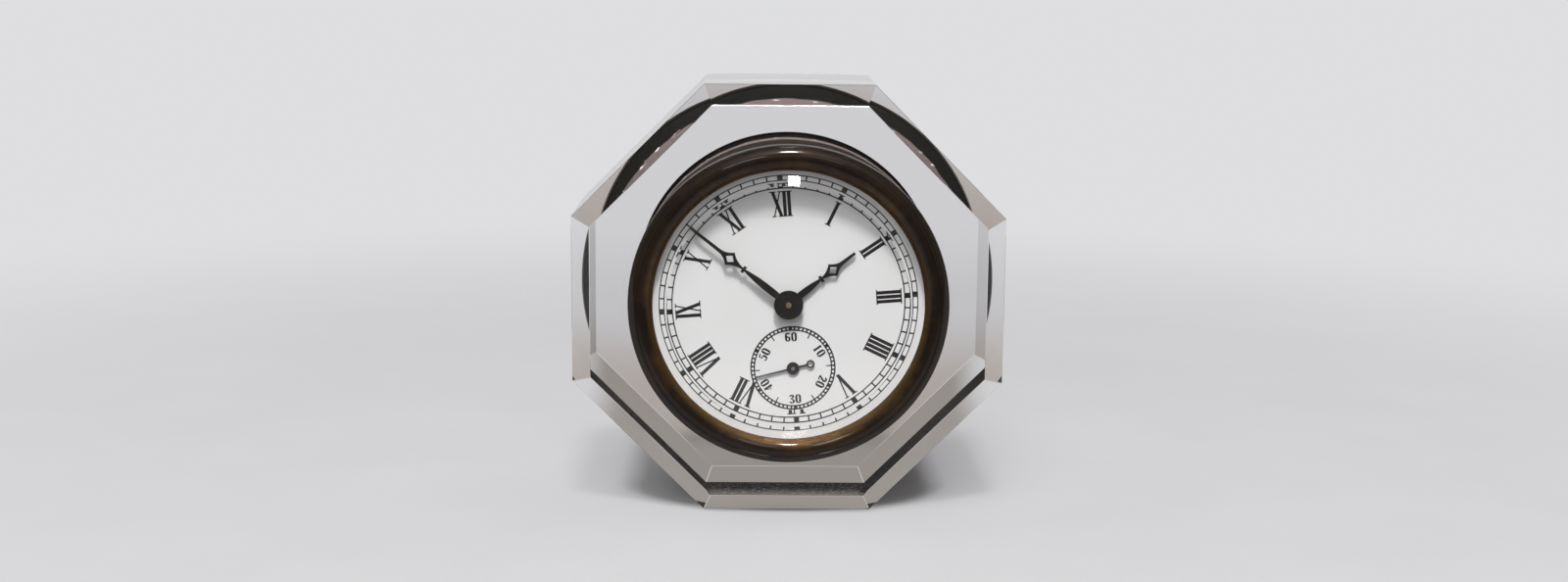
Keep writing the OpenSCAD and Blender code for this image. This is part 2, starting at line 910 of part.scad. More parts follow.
module escape_arbor()
    color("silver")
        in_clock()
            at(escape_at) {
                pivoted_arbor();
                pinion(fourth_m, TRAIN_LEAVES, mesh_turn(escape_dir, FOURTH_TEETH, TRAIN_LEAVES),
                    level(2), wheel_t);
            }

module escape_wheel() {
    turn = lever_dir - pallet_span / 2 - escape_lead;
    back = 14;
    hub = 1.6;
    rim = 0.7;
    arms = 4;
    arm_w = 0.8;
    color("gold")
        in_clock()
            at(escape_at)
                difference() {
                    slab(level(3), escape_t)
                        polygon(saw_outline(ESCAPE_TEETH, escape_r, escape_root, back, turn));
                    windows(hub, escape_root - rim, arms, arm_w, level(3), escape_t);
                    drill(arbor_r, level(3), level(3) + escape_t);
                }
}

// Places children on the great wheel, turned so that the click's tip lies along x
module on_great()
    in_clock()
        at(great_at)
            rotate(click_dir)
                children();

module great_wheel() {
    turn = mesh_turn(great_dir, CENTRE_LEAVES, GREAT_TEETH);
    end_d = level(4) + great_t;
    color("gold")
        difference() {
            in_clock()
                at(great_at)
                    difference() {
                        gear(GREAT_TEETH, great_m, WHEEL_TOOTH, turn, level(4), great_t);
                        drill(wind_body_r + run_gap, level(4), end_d);
                    }
            on_great() {
                at(click_pivot)
                    drill(click_screw_r, level(4), end_d);
                at(click_spring_foot)
                    drill(click_spring_r, level(4), end_d);
            }
        }
}

module click_screw() {
    head_d = ratchet_d + ratchet_t + fit_gap;
    color("slategray")
        on_great()
            at(click_pivot) {
                rod(click_screw_r, level(4), head_d);
                rod(click_boss_r, head_d, head_d + click_head_t);
            }
}

module click_spring() {
    foot = click_spring_foot;
    tip = click_spring_tip;
    strip = [0, click_spring_strip];
    color("steelblue")
        on_great() {
            at(foot)
                rod(click_spring_r, level(4), ratchet_d + ratchet_t);
            slab(ratchet_d, ratchet_t)
                polygon([foot, tip, tip + strip, foot + strip]);
        }
}

module click() {
    tip = click_tip;
    pivot = click_pivot;
    heel = [0.75, 0.35];
    throat = [0.35, 1.3];
    root = [1, -0.6];
    color("silver")
        on_great()
            difference() {
                union() {
                    slab(ratchet_d, ratchet_t)
                        polygon([tip, tip + heel, pivot + root, pivot, pivot + [-root.x, root.y],
                            tip + throat]);
                    at(pivot)
                        rod(click_boss_r, ratchet_d, ratchet_d + ratchet_t);
                }
                at(pivot)
                    drill(click_screw_r + run_gap, ratchet_d, ratchet_d + ratchet_t);
            }
}

module winding_arbor()
    color("silver")
        in_clock()
            at(great_at) {
                rod(wind_front_r, front_d, inside_d + end_play);
                rod(wind_body_r, inside_d + end_play, back_d - end_play);
                rod(wind_rear_r, back_d - end_play, cover_rear + key_out);
            }

module ratchet_wheel() {
    back = 12;
    root = ratchet_r - ratchet_tooth;
    color("darkgoldenrod")
        on_great()
            difference() {
                slab(ratchet_d, ratchet_t)
                    polygon(saw_outline(RATCHET_TEETH, ratchet_r, root, back, -ratchet_lag));
                drill(wind_body_r, ratchet_d, ratchet_d + ratchet_t);
            }
}

module winding_key() {
    hub = 2.8;
    wing_r = 4.4;
    hole_r = 2;
    wing_t = 1.6;
    key_d = cover_rear + knob_gap;
    key_end = cover_rear + key_out;
    wing_at = key_reach - wing_r;
    wing_d = key_end - hub / 2;
    color("darkgoldenrod")
        in_clock()
            at(great_at)
                difference() {
                    union() {
                        rod(hub, key_d, key_end);
                        for (s = [-1, 1])
                            translate([s * wing_at, -wing_t / 2, -wing_d])
                                rotate([90, 0, 0])
                                    tube(wing_r, hole_r, 0, wing_t);
                    }
                    drill(wind_rear_r, key_d, key_end);
                }
}

module pallet_arbor()
    color("silver")
        in_clock()
            at(pallet_at)
                pivoted_arbor();

// Places children at the pallet arbor with y toward the balance staff
module on_pallet()
    in_clock()
        at(pallet_at)
            rotate(lever_dir - 90)
                children();

module pallet_lever() {
    hub = 1.3;
    arm_w = 1;
    fork_w = 2.6;
    fork_l = 2;
    slot_w = 0.9;
    slot_l = 1.4;
    fork_end = lever_len - impulse_at_r + fork_l / 2;
    end_d = lever_d + lever_t;
    color("gainsboro")
        on_pallet()
            difference() {
                union() {
                    rod(hub, lever_d, end_d);
                    slab(lever_d, lever_t)
                        translate([-arm_w / 2, 0])
                            square([arm_w, fork_end - slot_l]);
                    slab(lever_d, lever_t)
                        translate([-fork_w / 2, fork_end - fork_l])
                            square([fork_w, fork_l]);
                    for (s = [-1, 1]) {
                        slab(lever_d, lever_t)
                            rotate(s > 0 ? -pallet_span / 2 : 180 + pallet_span / 2)
                                translate([0, -arm_w / 2])
                                    square([pallet_arm, arm_w]);
                        at([s * pallet_pin_at.x, pallet_pin_at.y])
                            rod(arm_w / 2, lever_d, end_d);
                    }
                }
                slot(lever_d, lever_t)
                    translate([-slot_w / 2, fork_end - slot_l])
                        square([slot_w, fork_l]);
                drill(arbor_r, lever_d, end_d);
                for (s = [-1, 1])
                    at([s * pallet_pin_at.x, pallet_pin_at.y])
                        drill(pin_r, lever_d, end_d);
            }
}

module pallet_pins()
    color("silver")
        on_pallet()
            for (s = [-1, 1])
                at([s * pallet_pin_at.x, pallet_pin_at.y])
                    rod(pin_r, level(3) - end_play, lever_d + lever_t);

module balance_staff() {
    start = inside_d + pivot_cup + end_play;
    end = back_d - pivot_cup - end_play;
    color("silver")
        in_clock()
            at(balance_at) {
                rod(pivot_r, inside_d + fit_gap, start);
                rod(arbor_r, start, end);
                rod(pivot_r, end, back_d - fit_gap);
            }
}

module balance_wheel() {
    hub = 1.8;
    arms = 3;
    color("gold")
        in_clock()
            at(balance_at)
                difference() {
                    rod(balance_r, balance_d, balance_d + balance_t);
                    windows(hub, balance_r - balance_rim, arms, wheel_arm_w, balance_d, balance_t);
                    drill(arbor_r, balance_d, balance_d + balance_t);
                }
}

module balance_roller()
    color("silver")
        in_clock()
            at(balance_at) {
                tube(roller_r, arbor_r, roller_d, roller_d + roller_t);
                at(polar(impulse_at_r, lever_dir + 180))
                    rod(impulse_r, lever_d + lever_t + fit_gap, roller_d);
            }

module hairspring_collet()
    color("darkgoldenrod")
        in_clock()
            at(balance_at)
                tube(collet_r, arbor_r, hairspring_d - 2 * fit_gap, hairspring_d + hairspring_w);

module regulator() {
    ring_r = 2.6;
    arm_w = 1.6;
    index_t = 0.7;
    index_d = rear_d + fit_gap;
    curb_end = hairspring_r + arm_w / 2;
    color("slategray")
        in_clock()
            at(balance_at)
                difference() {
                    union() {
                        rod(ring_r, index_d, index_d + index_t);
                        rotate(index_dir) {
                            slab(index_d, index_t)
                                translate([-curb_end, -arm_w / 2])
                                    square([curb_end + index_r + arm_w / 2, arm_w]);
                            at([index_r, 0])
                                rod(index_pin_r, index_d, cover_rear + index_out);
                            for (s = [-1, 1])
                                at([s * curb_half - curb_at_r, 0])
                                    rod(curb_r, hairspring_d - 2 * fit_gap, index_d + index_t);
                        }
                    }
                    drill(screw_r + run_gap, index_d, index_d + index_t);
                }
}

glass_block();
case_drum();
bezel();
crystal();
crystal_ring();
dial();
dial_feet();
front_plate();
back_plate();
plate_pillars();
plate_nuts();
back_cover();
cover_lip();
cover_nuts();
minute_wheel_stud();
balance_screws();
hairspring_stud();
mainspring_post();
mainspring();
hairspring();
centre_arbor();
centre_wheel();
cannon_pinion();
minute_hand();
minute_hand_boss();
set_knob();
hour_wheel();
hour_hand();
hour_hand_collet();
dial_washer();
minute_wheel();
minute_pinion();
third_arbor();
third_wheel();
fourth_arbor();
fourth_wheel();
second_hand();
escape_arbor();
escape_wheel();
great_wheel();
click_screw();
click_spring();
click();
winding_arbor();
ratchet_wheel();
winding_key();
pallet_arbor();
pallet_lever();
pallet_pins();
balance_staff();
balance_wheel();
balance_roller();
hairspring_collet();
regulator();
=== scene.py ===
# %% [markdown]
# # A glass paperweight clock
# A thick octagon of clear glass is bored through from front to back, and a small brass clock sits in
# the bore. The CAD model already gives every piece its place in metres, so this lesson loads it as a
# fixed frame and then adds what the eye needs: real glass, aged brass, a printed enamel dial.

# %% Load the frame
import json
from math import radians

import bmesh
import bpy
from mathutils import Matrix, Quaternion, Vector


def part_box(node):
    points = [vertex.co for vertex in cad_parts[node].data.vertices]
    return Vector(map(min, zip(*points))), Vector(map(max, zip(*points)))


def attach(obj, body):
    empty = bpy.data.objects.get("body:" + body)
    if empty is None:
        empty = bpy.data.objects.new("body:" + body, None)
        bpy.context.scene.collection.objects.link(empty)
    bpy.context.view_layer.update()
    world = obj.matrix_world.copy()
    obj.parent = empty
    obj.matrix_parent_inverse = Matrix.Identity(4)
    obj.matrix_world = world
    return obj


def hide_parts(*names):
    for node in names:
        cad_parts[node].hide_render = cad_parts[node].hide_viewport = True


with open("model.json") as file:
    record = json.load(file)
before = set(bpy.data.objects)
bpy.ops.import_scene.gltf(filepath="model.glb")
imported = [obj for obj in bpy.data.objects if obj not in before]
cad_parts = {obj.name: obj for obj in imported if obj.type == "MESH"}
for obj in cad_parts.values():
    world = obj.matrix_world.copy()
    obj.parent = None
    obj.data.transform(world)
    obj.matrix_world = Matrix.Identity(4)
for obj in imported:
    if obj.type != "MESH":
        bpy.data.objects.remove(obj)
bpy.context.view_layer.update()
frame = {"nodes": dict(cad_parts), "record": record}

# %% [markdown]
# ## The camera
# The photograph is taken from a little above the clock, almost square on. Its corners were measured
# and a camera was fitted to them, so its place and direction are plain numbers here. The short roll
# is the slight tilt of the picture.

# %% Camera
ROLL = radians(0.52)
lens = bpy.data.cameras.new("camera")
lens.lens, lens.sensor_width = 46.54, 36
camera = bpy.data.objects.new("camera", lens)
bpy.context.scene.collection.objects.link(camera)
camera.location = (-0.0080, -0.4791, 0.1320)
looks_along = Vector((0.01496, 0.98516, -0.1709))
camera.rotation_mode = "QUATERNION"
camera.rotation_quaternion = looks_along.to_track_quat("-Z", "Y") @ Quaternion((0, 0, 1), ROLL)
bpy.context.scene.camera = camera
bpy.context.scene.view_settings.view_transform = "Standard"
print("camera at", tuple(round(x, 4) for x in camera.location))

# %% [markdown]
# ## Finishes are made of nodes
# A finish is a small graph: textures feed a shader and the shader feeds the output. Four helpers are
# enough. One turns a colour written the way a picture shows it into the linear light values that a
# shader needs, one starts an empty finish, one adds any node with its settings and its links, and one
# gives a pattern its real size.

# %% Helpers for finishes
def light_of(hex_colour):
    channels = [int(hex_colour[i:i + 2], 16) / 255 for i in (1, 3, 5)]
    return (*[c / 12.92 if c <= 0.04045 else ((c + 0.055) / 1.055) ** 2.4 for c in channels], 1)


def new_finish(name):
    finish = bpy.data.materials.new(name)
    finish.use_nodes = True
    finish.node_tree.nodes.clear()
    return finish


def add(finish, kind, inputs, **settings):
    made = finish.node_tree.nodes.new("ShaderNode" + kind)
    for name, value in settings.items():
        setattr(made, name, value)
    for name, value in inputs.items():
        if isinstance(value, bpy.types.NodeSocket):
            finish.node_tree.links.new(value, made.inputs[name])
        else:
            made.inputs[name].default_value = value
    return made


def per_mm(size):
    """Texture scale that gives features of about this many millimetres in a frame of metres."""
    return 1000 / size


print("white is", light_of("#FFFFFF")[:3])

# %% [markdown]
# ## The floor
# The clock stands on a seamless pale sweep of paper. One very large sheet gives that from every side.
# Near the clock it is matt paper that catches the shadow. Far away the lamps no longer reach it, so
# there it shows its own paper tone to the eye, to reflections and through the glass. The sheet throws
# little light back, so that the shade of the bezel stays on the dial, and it ends in front of the
# clock, where glossy pieces mirror the darker room instead.
#
# The paper just behind the clock lies in its shade, and only the glass shows that part. For the glass
# alone it is toned darker, and close behind the block it gets an even grey in place of the light that
# real glass gathers there.

# %% Tone of the paper
# Limits in metres: first from the clock outwards, then along y in front of it and behind it
MATT_TO, OWN_TONE_FROM, SHADE_TO, SHADE_FULL = 0.14, 0.50, 0.27, 0.11
SHEET_TO, ROOM_FROM = -0.12, -0.26
POOL_FROM, POOL_CLEAR, POOL_FULL, POOL_TO, POOL_SHARE = 0.022, 0.026, 0.050, 0.085, 0.85
paper = new_finish("pale backdrop paper")
spot = add(paper, "TexCoord", {})
flat = add(paper, "VectorMath", {0: spot.outputs["Object"]}, operation="LENGTH")
far = add(paper, "MapRange", {"Value": flat.outputs["Value"], "From Min": MATT_TO,
                              "From Max": OWN_TONE_FROM}, interpolation_type="SMOOTHSTEP")
along = add(paper, "SeparateXYZ", {0: spot.outputs["Object"]})
before = add(paper, "MapRange", {"Value": along.outputs["Y"], "From Min": SHEET_TO,
                                 "From Max": ROOM_FROM}, interpolation_type="SMOOTHSTEP")
ray = add(paper, "LightPath", {})
seen = add(paper, "Math", {0: ray.outputs["Is Camera Ray"], 1: ray.outputs["Is Glossy Ray"]},
           operation="MAXIMUM")
seen = add(paper, "Math", {0: seen.outputs[0], 1: ray.outputs["Is Transmission Ray"]},
           operation="MAXIMUM")
fibre = add(paper, "TexNoise", {"Vector": spot.outputs["Object"], "Scale": per_mm(40), "Detail": 3})
tone = add(paper, "Mix", {0: fibre.outputs[0], 6: light_of("#B3B3B5"), 7: light_of("#B9B9BB")},
           data_type="RGBA")
tone = add(paper, "Mix", {0: seen.outputs[0], 6: light_of("#808082"), 7: tone.outputs[2]},
           data_type="RGBA")
close = add(paper, "MapRange", {"Value": flat.outputs["Value"], "From Min": SHADE_TO,
                                "From Max": SHADE_FULL}, interpolation_type="SMOOTHSTEP")
behind = add(paper, "Math", {0: close.outputs[0], 1: ray.outputs["Is Transmission Ray"]},
             operation="MULTIPLY")
tone = add(paper, "Mix", {0: behind.outputs[0], 6: tone.outputs[2], 7: light_of("#A09993")},
           data_type="RGBA")
print("tone of the paper from", len(paper.node_tree.nodes), "nodes")

# %% Surface of the paper
matt = add(paper, "BsdfDiffuse", {"Color": tone.outputs[2]})
glow = add(paper, "Emission", {"Color": light_of("#DEDEE0"), "Strength": 1})
dim = add(paper, "Emission", {"Color": light_of("#4A4846"), "Strength": 1})
share = add(paper, "Math", {0: far.outputs[0], 1: seen.outputs[0]}, operation="MULTIPLY")
sheet = add(paper, "MixShader", {0: share.outputs[0], 1: matt.outputs[0], 2: glow.outputs[0]})
mirror = add(paper, "Math", {0: ray.outputs["Glossy Depth"], 1: ray.outputs["Is Glossy Ray"]},
             operation="MINIMUM")
mirrored = add(paper, "Math", {0: before.outputs[0], 1: mirror.outputs[0]}, operation="MULTIPLY")
sheet = add(paper, "MixShader", {0: mirrored.outputs[0], 1: sheet.outputs[0], 2: dim.outputs[0]})
reach = add(paper, "MapRange", {"Value": along.outputs["Y"], "From Min": POOL_TO,
                                "From Max": POOL_FULL}, interpolation_type="SMOOTHSTEP")
clear = add(paper, "MapRange", {"Value": along.outputs["Y"], "From Min": POOL_FROM,
                                "From Max": POOL_CLEAR})
pool = add(paper, "Math", {0: reach.outputs[0], 1: clear.outputs[0]}, operation="MULTIPLY")
pool = add(paper, "Math", {0: pool.outputs[0], 1: ray.outputs["Is Transmission Ray"]},
           operation="MULTIPLY")
pool = add(paper, "Math", {0: pool.outputs[0], 1: POOL_SHARE}, operation="MULTIPLY")
gathered = add(paper, "Emission", {"Color": light_of("#A39E99"), "Strength": 1})
sheet = add(paper, "MixShader", {0: pool.outputs[0], 1: sheet.outputs[0], 2: gathered.outputs[0]})
add(paper, "OutputMaterial", {"Surface": sheet.outputs[0]})
print(paper.name)

# %% Floor
FLOOR_HALF, FLOOR_DROP = 30, 0.0001
shape = bmesh.new()
bmesh.ops.create_grid(shape, x_segments=1, y_segments=1, size=FLOOR_HALF,
                      matrix=Matrix.Translation((0, 0, -FLOOR_DROP)))
mesh = bpy.data.meshes.new("floor")
shape.to_mesh(mesh)
shape.free()
mesh.materials.append(paper)
floor = bpy.data.objects.new("floor", mesh)
bpy.context.scene.collection.objects.link(floor)
print("floor", mesh.vertices[3].co.x * 2, "m across")

# %% [markdown]
# ## The room
# The paper rises behind the clock, so the world is a pale panel there. Higher up and further aside it
# turns to a grey wall, and the lower bevels of the glass pick up both. A true mirror reflection gets
# the panel a little brighter. The room is darkest behind the camera, where the crystal would otherwise
# mirror a bright room.

# %% World
PANEL_MIDDLE, PANEL_LEAN = 0.015, -0.35
room = bpy.data.worlds.new("quiet room")
bpy.context.scene.world = room
room.use_nodes = True
room.node_tree.nodes.clear()
look = add(room, "TexCoord", {})
way = add(room, "SeparateXYZ", {0: look.outputs["Generated"]})
rise = add(room, "MapRange", {"Value": way.outputs["Z"], "From Min": 0.145, "From Max": 0.185},
           interpolation_type="SMOOTHSTEP")
aside = add(room, "Math", {0: way.outputs["X"], 1: PANEL_MIDDLE}, operation="SUBTRACT")
aside = add(room, "Math", {0: aside.outputs[0]}, operation="ABSOLUTE")
aside = add(room, "Math", {0: way.outputs["Z"], 1: PANEL_LEAN, 2: aside.outputs[0]},
            operation="MULTIPLY_ADD")
aside = add(room, "MapRange", {"Value": aside.outputs[0], "From Min": 0.1895, "From Max": 0.2135},
            interpolation_type="SMOOTHSTEP")
grey = add(room, "Math", {0: rise.outputs[0], 1: aside.outputs[0]}, operation="MAXIMUM")
ray = add(room, "LightPath", {})
mirror = add(room, "Math", {0: ray.outputs["Glossy Depth"], 1: ray.outputs["Is Glossy Ray"]},
             operation="MINIMUM")
panel = add(room, "Mix", {0: mirror.outputs[0], 6: light_of("#DADADB"), 7: light_of("#F6F6F7")},
            data_type="RGBA")
wall = add(room, "Mix", {0: grey.outputs[0], 6: panel.outputs[2], 7: light_of("#9E9993")},
           data_type="RGBA")
back = add(room, "MapRange", {"Value": way.outputs["Y"], "From Min": 0.05, "From Max": -0.5},
           interpolation_type="SMOOTHSTEP")
wall = add(room, "Mix", {0: back.outputs[0], 6: wall.outputs[2], 7: light_of("#605E5C")},
           data_type="RGBA")
over = add(room, "MapRange", {"Value": way.outputs["Z"], "From Min": 0.45, "From Max": 0.85},
           interpolation_type="SMOOTHSTEP")
wall = add(room, "Mix", {0: over.outputs[0], 6: wall.outputs[2], 7: light_of("#8E8E90")},
           data_type="RGBA")
wall = add(room, "Mix", {0: ray.outputs["Is Camera Ray"], 6: wall.outputs[2], 7: light_of("#DEDEE0")},
           data_type="RGBA")
air = add(room, "Background", {"Color": wall.outputs[2], "Strength": 1})
add(room, "OutputWorld", {"Surface": air.outputs[0]})
print("room", room.name)

# %% [markdown]
# ## The lamps
# A lamp high above the camera lights the dial and leaves the shade of the bezel on it. The ceiling
# round it glows and softens the shade; it is matt, so nothing mirrors it. A bulb beside the lamp shows
# as a white patch on the bevel of the crystal. Two weaker lamps stand left and right of the camera and
# throw the faint shadows behind the clock. Each is a square area light, because a square makes soft
# shadows.

# %% Lamps
AIM = Vector((0, 0, 0.05))


def lamp(name, place, size, watts, mirrored=True):
    light = bpy.data.lights.new(name, "AREA")
    light.size, light.energy = size, watts
    stand = bpy.data.objects.new(name, light)
    bpy.context.scene.collection.objects.link(stand)
    stand.location, stand.visible_glossy = place, mirrored
    stand.rotation_euler = (AIM - Vector(place)).to_track_quat("-Z", "Y").to_euler()
    print(name, "lamp of", watts, "W")


lamp("above", (0.02, -1.25, 2.23), 0.28, 44)
lamp("ceiling", (-0.30, -1.32, 2.30), 1.10, 33, mirrored=False)
lamp("bulb", (0.12, -1.055, 2.23), 0.24, 7)
lamp("left", (-0.52, -2.10, 1.36), 0.50, 8)
lamp("right", (0.46, -2.12, 1.36), 0.50, 3)

# %% [markdown]
# ## Working in millimetres on the clock's own axis
# The clock sits a few degrees turned in its glass. New pieces are drawn in millimetres around the
# clock's axis: x to the right, y up towards the twelve, z out of the dial, and z = 0 on the front
# face of the glass. One matrix then carries them to their place in the frame.

# %% Helpers for pieces
TURNED, SHARP, LATHE_STEPS, SAME_POINT = radians(-4.4), radians(28), 256, 0.0005
UPRIGHT, MILLIMETRES = Matrix.Rotation(radians(90), 4, "X"), Matrix.Scale(0.001, 4)
glass_lo, glass_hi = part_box("glass_block")
AXIS = Vector((0, glass_lo.y, (glass_lo.z + glass_hi.z) / 2))
CLOCK = Matrix.Translation(AXIS) @ Matrix.Rotation(TURNED, 4, "Y") @ UPRIGHT @ MILLIMETRES


def settle(name, shape, finishes, stands_for=(), where=CLOCK, smooth=True):
    """Makes a piece of a shape drawn in millimetres, and lets it ride on the case."""
    bmesh.ops.recalc_face_normals(shape, faces=shape.faces)
    bmesh.ops.transform(shape, matrix=where, verts=shape.verts)
    mesh = bpy.data.meshes.new(name)
    shape.to_mesh(mesh)
    shape.free()
    if smooth:
        mesh.shade_smooth()
        mesh.set_sharp_from_angle(angle=SHARP)
    for finish in finishes:
        mesh.materials.append(finish)
    piece = bpy.data.objects.new(name, mesh)
    bpy.context.scene.collection.objects.link(piece)
    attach(piece, "case")
    if stands_for:
        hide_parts(*stands_for)
    print(name, len(mesh.polygons), "faces")


def verts_in(made):
    return [v for v in made["geom"] if isinstance(v, bmesh.types.BMVert)]


def circle_edges(shape, radius, segments, centre):
    """Adds a flat circle and gives its edges in order."""
    circle = bmesh.ops.create_circle(shape, cap_ends=False, radius=radius, segments=segments,
                                     matrix=Matrix.Translation(centre))["verts"]
    return list(dict.fromkeys(e for v in circle for e in v.link_edges))


def turn(shape, outline):
    """Spins an outline of vertices in the x-z plane right round the clock's axis."""
    edges = [shape.edges.new(pair) for pair in zip(outline, outline[1:])]
    bmesh.ops.spin(shape, geom=shape.verts[:] + edges, axis=(0, 0, 1), cent=(0, 0, 0),
                   angle=radians(360), steps=LATHE_STEPS, use_merge=True)
    bmesh.ops.remove_doubles(shape, verts=shape.verts, dist=SAME_POINT)


print("clock axis at", [round(1000 * x, 2) for x in AXIS])

# %% [markdown]
# ## Glass
# The slab is clear soda-lime glass, ground flat and polished by hand. Thick clear glass is not quite
# colourless: light that crosses a few centimetres of it comes out a little grey. That belongs inside
# the glass, so it is a volume and not a surface colour. Decades of handling leave faint smears, which
# only change how sharp the surface is. Light that bends through a solid is slow to find its lamp, so a
# small helper lets lamp light pass straight while the eye still sees everything bent.

# %% Polished glass
SLAB_INDEX, SLAB_TINT, SLAB_DENSITY, SLAB_PANE = 1.46, "#D2CDD2", 7, "#F0F0F0"


def lamps_pass(finish, glass, share):
    """Glass for the eye, and a plain pane for lamp light on its way to whatever stands behind it."""
    ray = add(finish, "LightPath", {})
    lit = add(finish, "Math", {0: ray.outputs["Is Shadow Ray"], 1: ray.outputs["Is Diffuse Ray"]},
              operation="MAXIMUM")
    pane = add(finish, "BsdfTransparent", {"Color": light_of(share)})
    return add(finish, "MixShader", {0: lit.outputs[0], 1: glass.outputs[0], 2: pane.outputs[0]})


polished_glass = new_finish("polished soda-lime glass")
spot = add(polished_glass, "TexCoord", {})
smear = add(polished_glass, "TexNoise", {"Vector": spot.outputs["Object"], "Scale": per_mm(9),
                                         "Detail": 4, "Roughness": 0.6})
haze = add(polished_glass, "MapRange", {"Value": smear.outputs[0], "From Min": 0.45, "From Max": 0.8,
                                        "To Min": 0.0, "To Max": 0.05})
glass = add(polished_glass, "BsdfPrincipled", {"Base Color": light_of("#FFFFFF"), "IOR": SLAB_INDEX,
                                               "Roughness": haze.outputs[0],
                                               "Transmission Weight": 1})
tint = add(polished_glass, "VolumeAbsorption", {"Color": light_of(SLAB_TINT), "Density": SLAB_DENSITY})
both = lamps_pass(polished_glass, glass, SLAB_PANE)
add(polished_glass, "OutputMaterial", {"Surface": both.outputs[0], "Volume": tint.outputs[0]})
print(polished_glass.name)

# %% [markdown]
# The facet that the clock stands on has slid over many desks. It is the same glass with a scuffed,
# frosted skin, and through the front it shows as a dull speckled band.

# %% Scuffed glass
scuffed_glass = new_finish("scuffed soda-lime glass")
spot = add(scuffed_glass, "TexCoord", {})
grit = add(scuffed_glass, "TexNoise", {"Vector": spot.outputs["Object"], "Scale": per_mm(1.2),
                                       "Detail": 5, "Roughness": 0.7})
frost = add(scuffed_glass, "MapRange", {"Value": grit.outputs[0], "From Min": 0.5, "From Max": 0.72,
                                        "To Min": 0.03, "To Max": 0.5})
dents = add(scuffed_glass, "Bump", {"Height": grit.outputs[0], "Strength": 0.25, "Distance": 0.0002})
soil = add(scuffed_glass, "Mix", {0: grit.outputs[0], 6: light_of("#5C5955"), 7: light_of("#C0BCB8")},
           data_type="RGBA")
glass = add(scuffed_glass, "BsdfPrincipled", {"Base Color": soil.outputs[2], "IOR": SLAB_INDEX,
                                              "Roughness": frost.outputs[0],
                                              "Normal": dents.outputs[0],
                                              "Transmission Weight": 1})
tint = add(scuffed_glass, "VolumeAbsorption", {"Color": light_of(SLAB_TINT), "Density": SLAB_DENSITY})
both = lamps_pass(scuffed_glass, glass, SLAB_PANE)
add(scuffed_glass, "OutputMaterial", {"Surface": both.outputs[0], "Volume": tint.outputs[0]})
print(scuffed_glass.name)

# %% [markdown]
# The bore is ground, not polished, and painted before the clock goes in: dark at the front, a worn
# pinkish grey band in the middle and black at the rear, so that the movement does not show through the
# slab. Seen through the bevels it gives the dark arcs near the top. The depth along y decides which
# coat is there, noise makes the brushed edges uneven, and chips of bare white glass sit along them.

# %% Painted bore
# In metres: depths along y, then how far chips reach and between which heights the black turns paler
RAGGED, PINK_FROM, PINK_FULL, BLACK_FROM, BLACK_FULL = 0.0022, 0.0030, 0.0040, 0.0112, 0.0120
CHIP_REACH, DARK_DOWN_TO, PALE_FROM = 0.0012, 0.048, 0.030
painted_bore = new_finish("ground and painted bore")
spot = add(painted_bore, "TexCoord", {})
depth = add(painted_bore, "SeparateXYZ", {0: spot.outputs["Object"]})
brush = add(painted_bore, "TexNoise", {"Vector": spot.outputs["Object"], "Scale": per_mm(6),
                                       "Detail": 5})
ragged = add(painted_bore, "MapRange", {"Value": brush.outputs[0], "To Min": -RAGGED, "To Max": RAGGED})
edge = add(painted_bore, "Math", {0: depth.outputs["Y"], 1: ragged.outputs[0]}, operation="ADD")
worn = add(painted_bore, "MapRange", {"Value": edge.outputs[0], "From Min": PINK_FROM,
                                      "From Max": PINK_FULL})
black = add(painted_bore, "MapRange", {"Value": edge.outputs[0], "From Min": BLACK_FROM,
                                       "From Max": BLACK_FULL})
grain = add(painted_bore, "TexNoise", {"Vector": spot.outputs["Object"], "Scale": per_mm(1.5),
                                       "Detail": 5})
dark = add(painted_bore, "Mix", {0: grain.outputs[0], 6: light_of("#14100C"), 7: light_of("#2C251C")},
           data_type="RGBA")
pink = add(painted_bore, "Mix", {0: grain.outputs[0], 6: light_of("#5E5452"), 7: light_of("#948784")},
           data_type="RGBA")
coat = add(painted_bore, "Mix", {0: worn.outputs[0], 6: dark.outputs[2], 7: pink.outputs[2]},
           data_type="RGBA")
low = add(painted_bore, "MapRange", {"Value": depth.outputs["Z"], "From Min": DARK_DOWN_TO,
                                     "From Max": PALE_FROM})
rear = add(painted_bore, "Mix", {0: low.outputs[0], 6: light_of("#0D0C08"), 7: light_of("#5C544D")},
           data_type="RGBA")
coat = add(painted_bore, "Mix", {0: black.outputs[0], 6: coat.outputs[2], 7: rear.outputs[2]},
           data_type="RGBA")
chip = add(painted_bore, "TexNoise", {"Vector": spot.outputs["Object"], "Scale": per_mm(2.2),
                                      "Detail": 2})
chip = add(painted_bore, "MapRange", {"Value": chip.outputs[0], "From Min": 0.63, "From Max": 0.66})
near = add(painted_bore, "Math", {0: edge.outputs[0], 1: BLACK_FROM, 2: CHIP_REACH},
           operation="COMPARE")
chip = add(painted_bore, "Math", {0: chip.outputs[0], 1: near.outputs[0]}, operation="MULTIPLY")
coat = add(painted_bore, "Mix", {0: chip.outputs[0], 6: coat.outputs[2], 7: light_of("#F2EFEC")},
           data_type="RGBA")
skin = add(painted_bore, "BsdfPrincipled", {"Base Color": coat.outputs[2], "Roughness": 0.6,
                                            "Specular IOR Level": 0.05})
add(painted_bore, "OutputMaterial", {"Surface": skin.outputs[0]})
print(painted_bore.name)

# %% [markdown]
# ## The glass block
# The block is an octagon with broad 45 degree bevels round both faces, a little narrower at the rear.
# Eight corners make the face, an extrusion gives the depth, and an inset that also moves outwards makes
# each ring of bevels in one step. A hair of bevel on every edge keeps them from looking razor sharp.
# The two flat faces stop 0.02 mm short, so that glass and metal never share a plane.

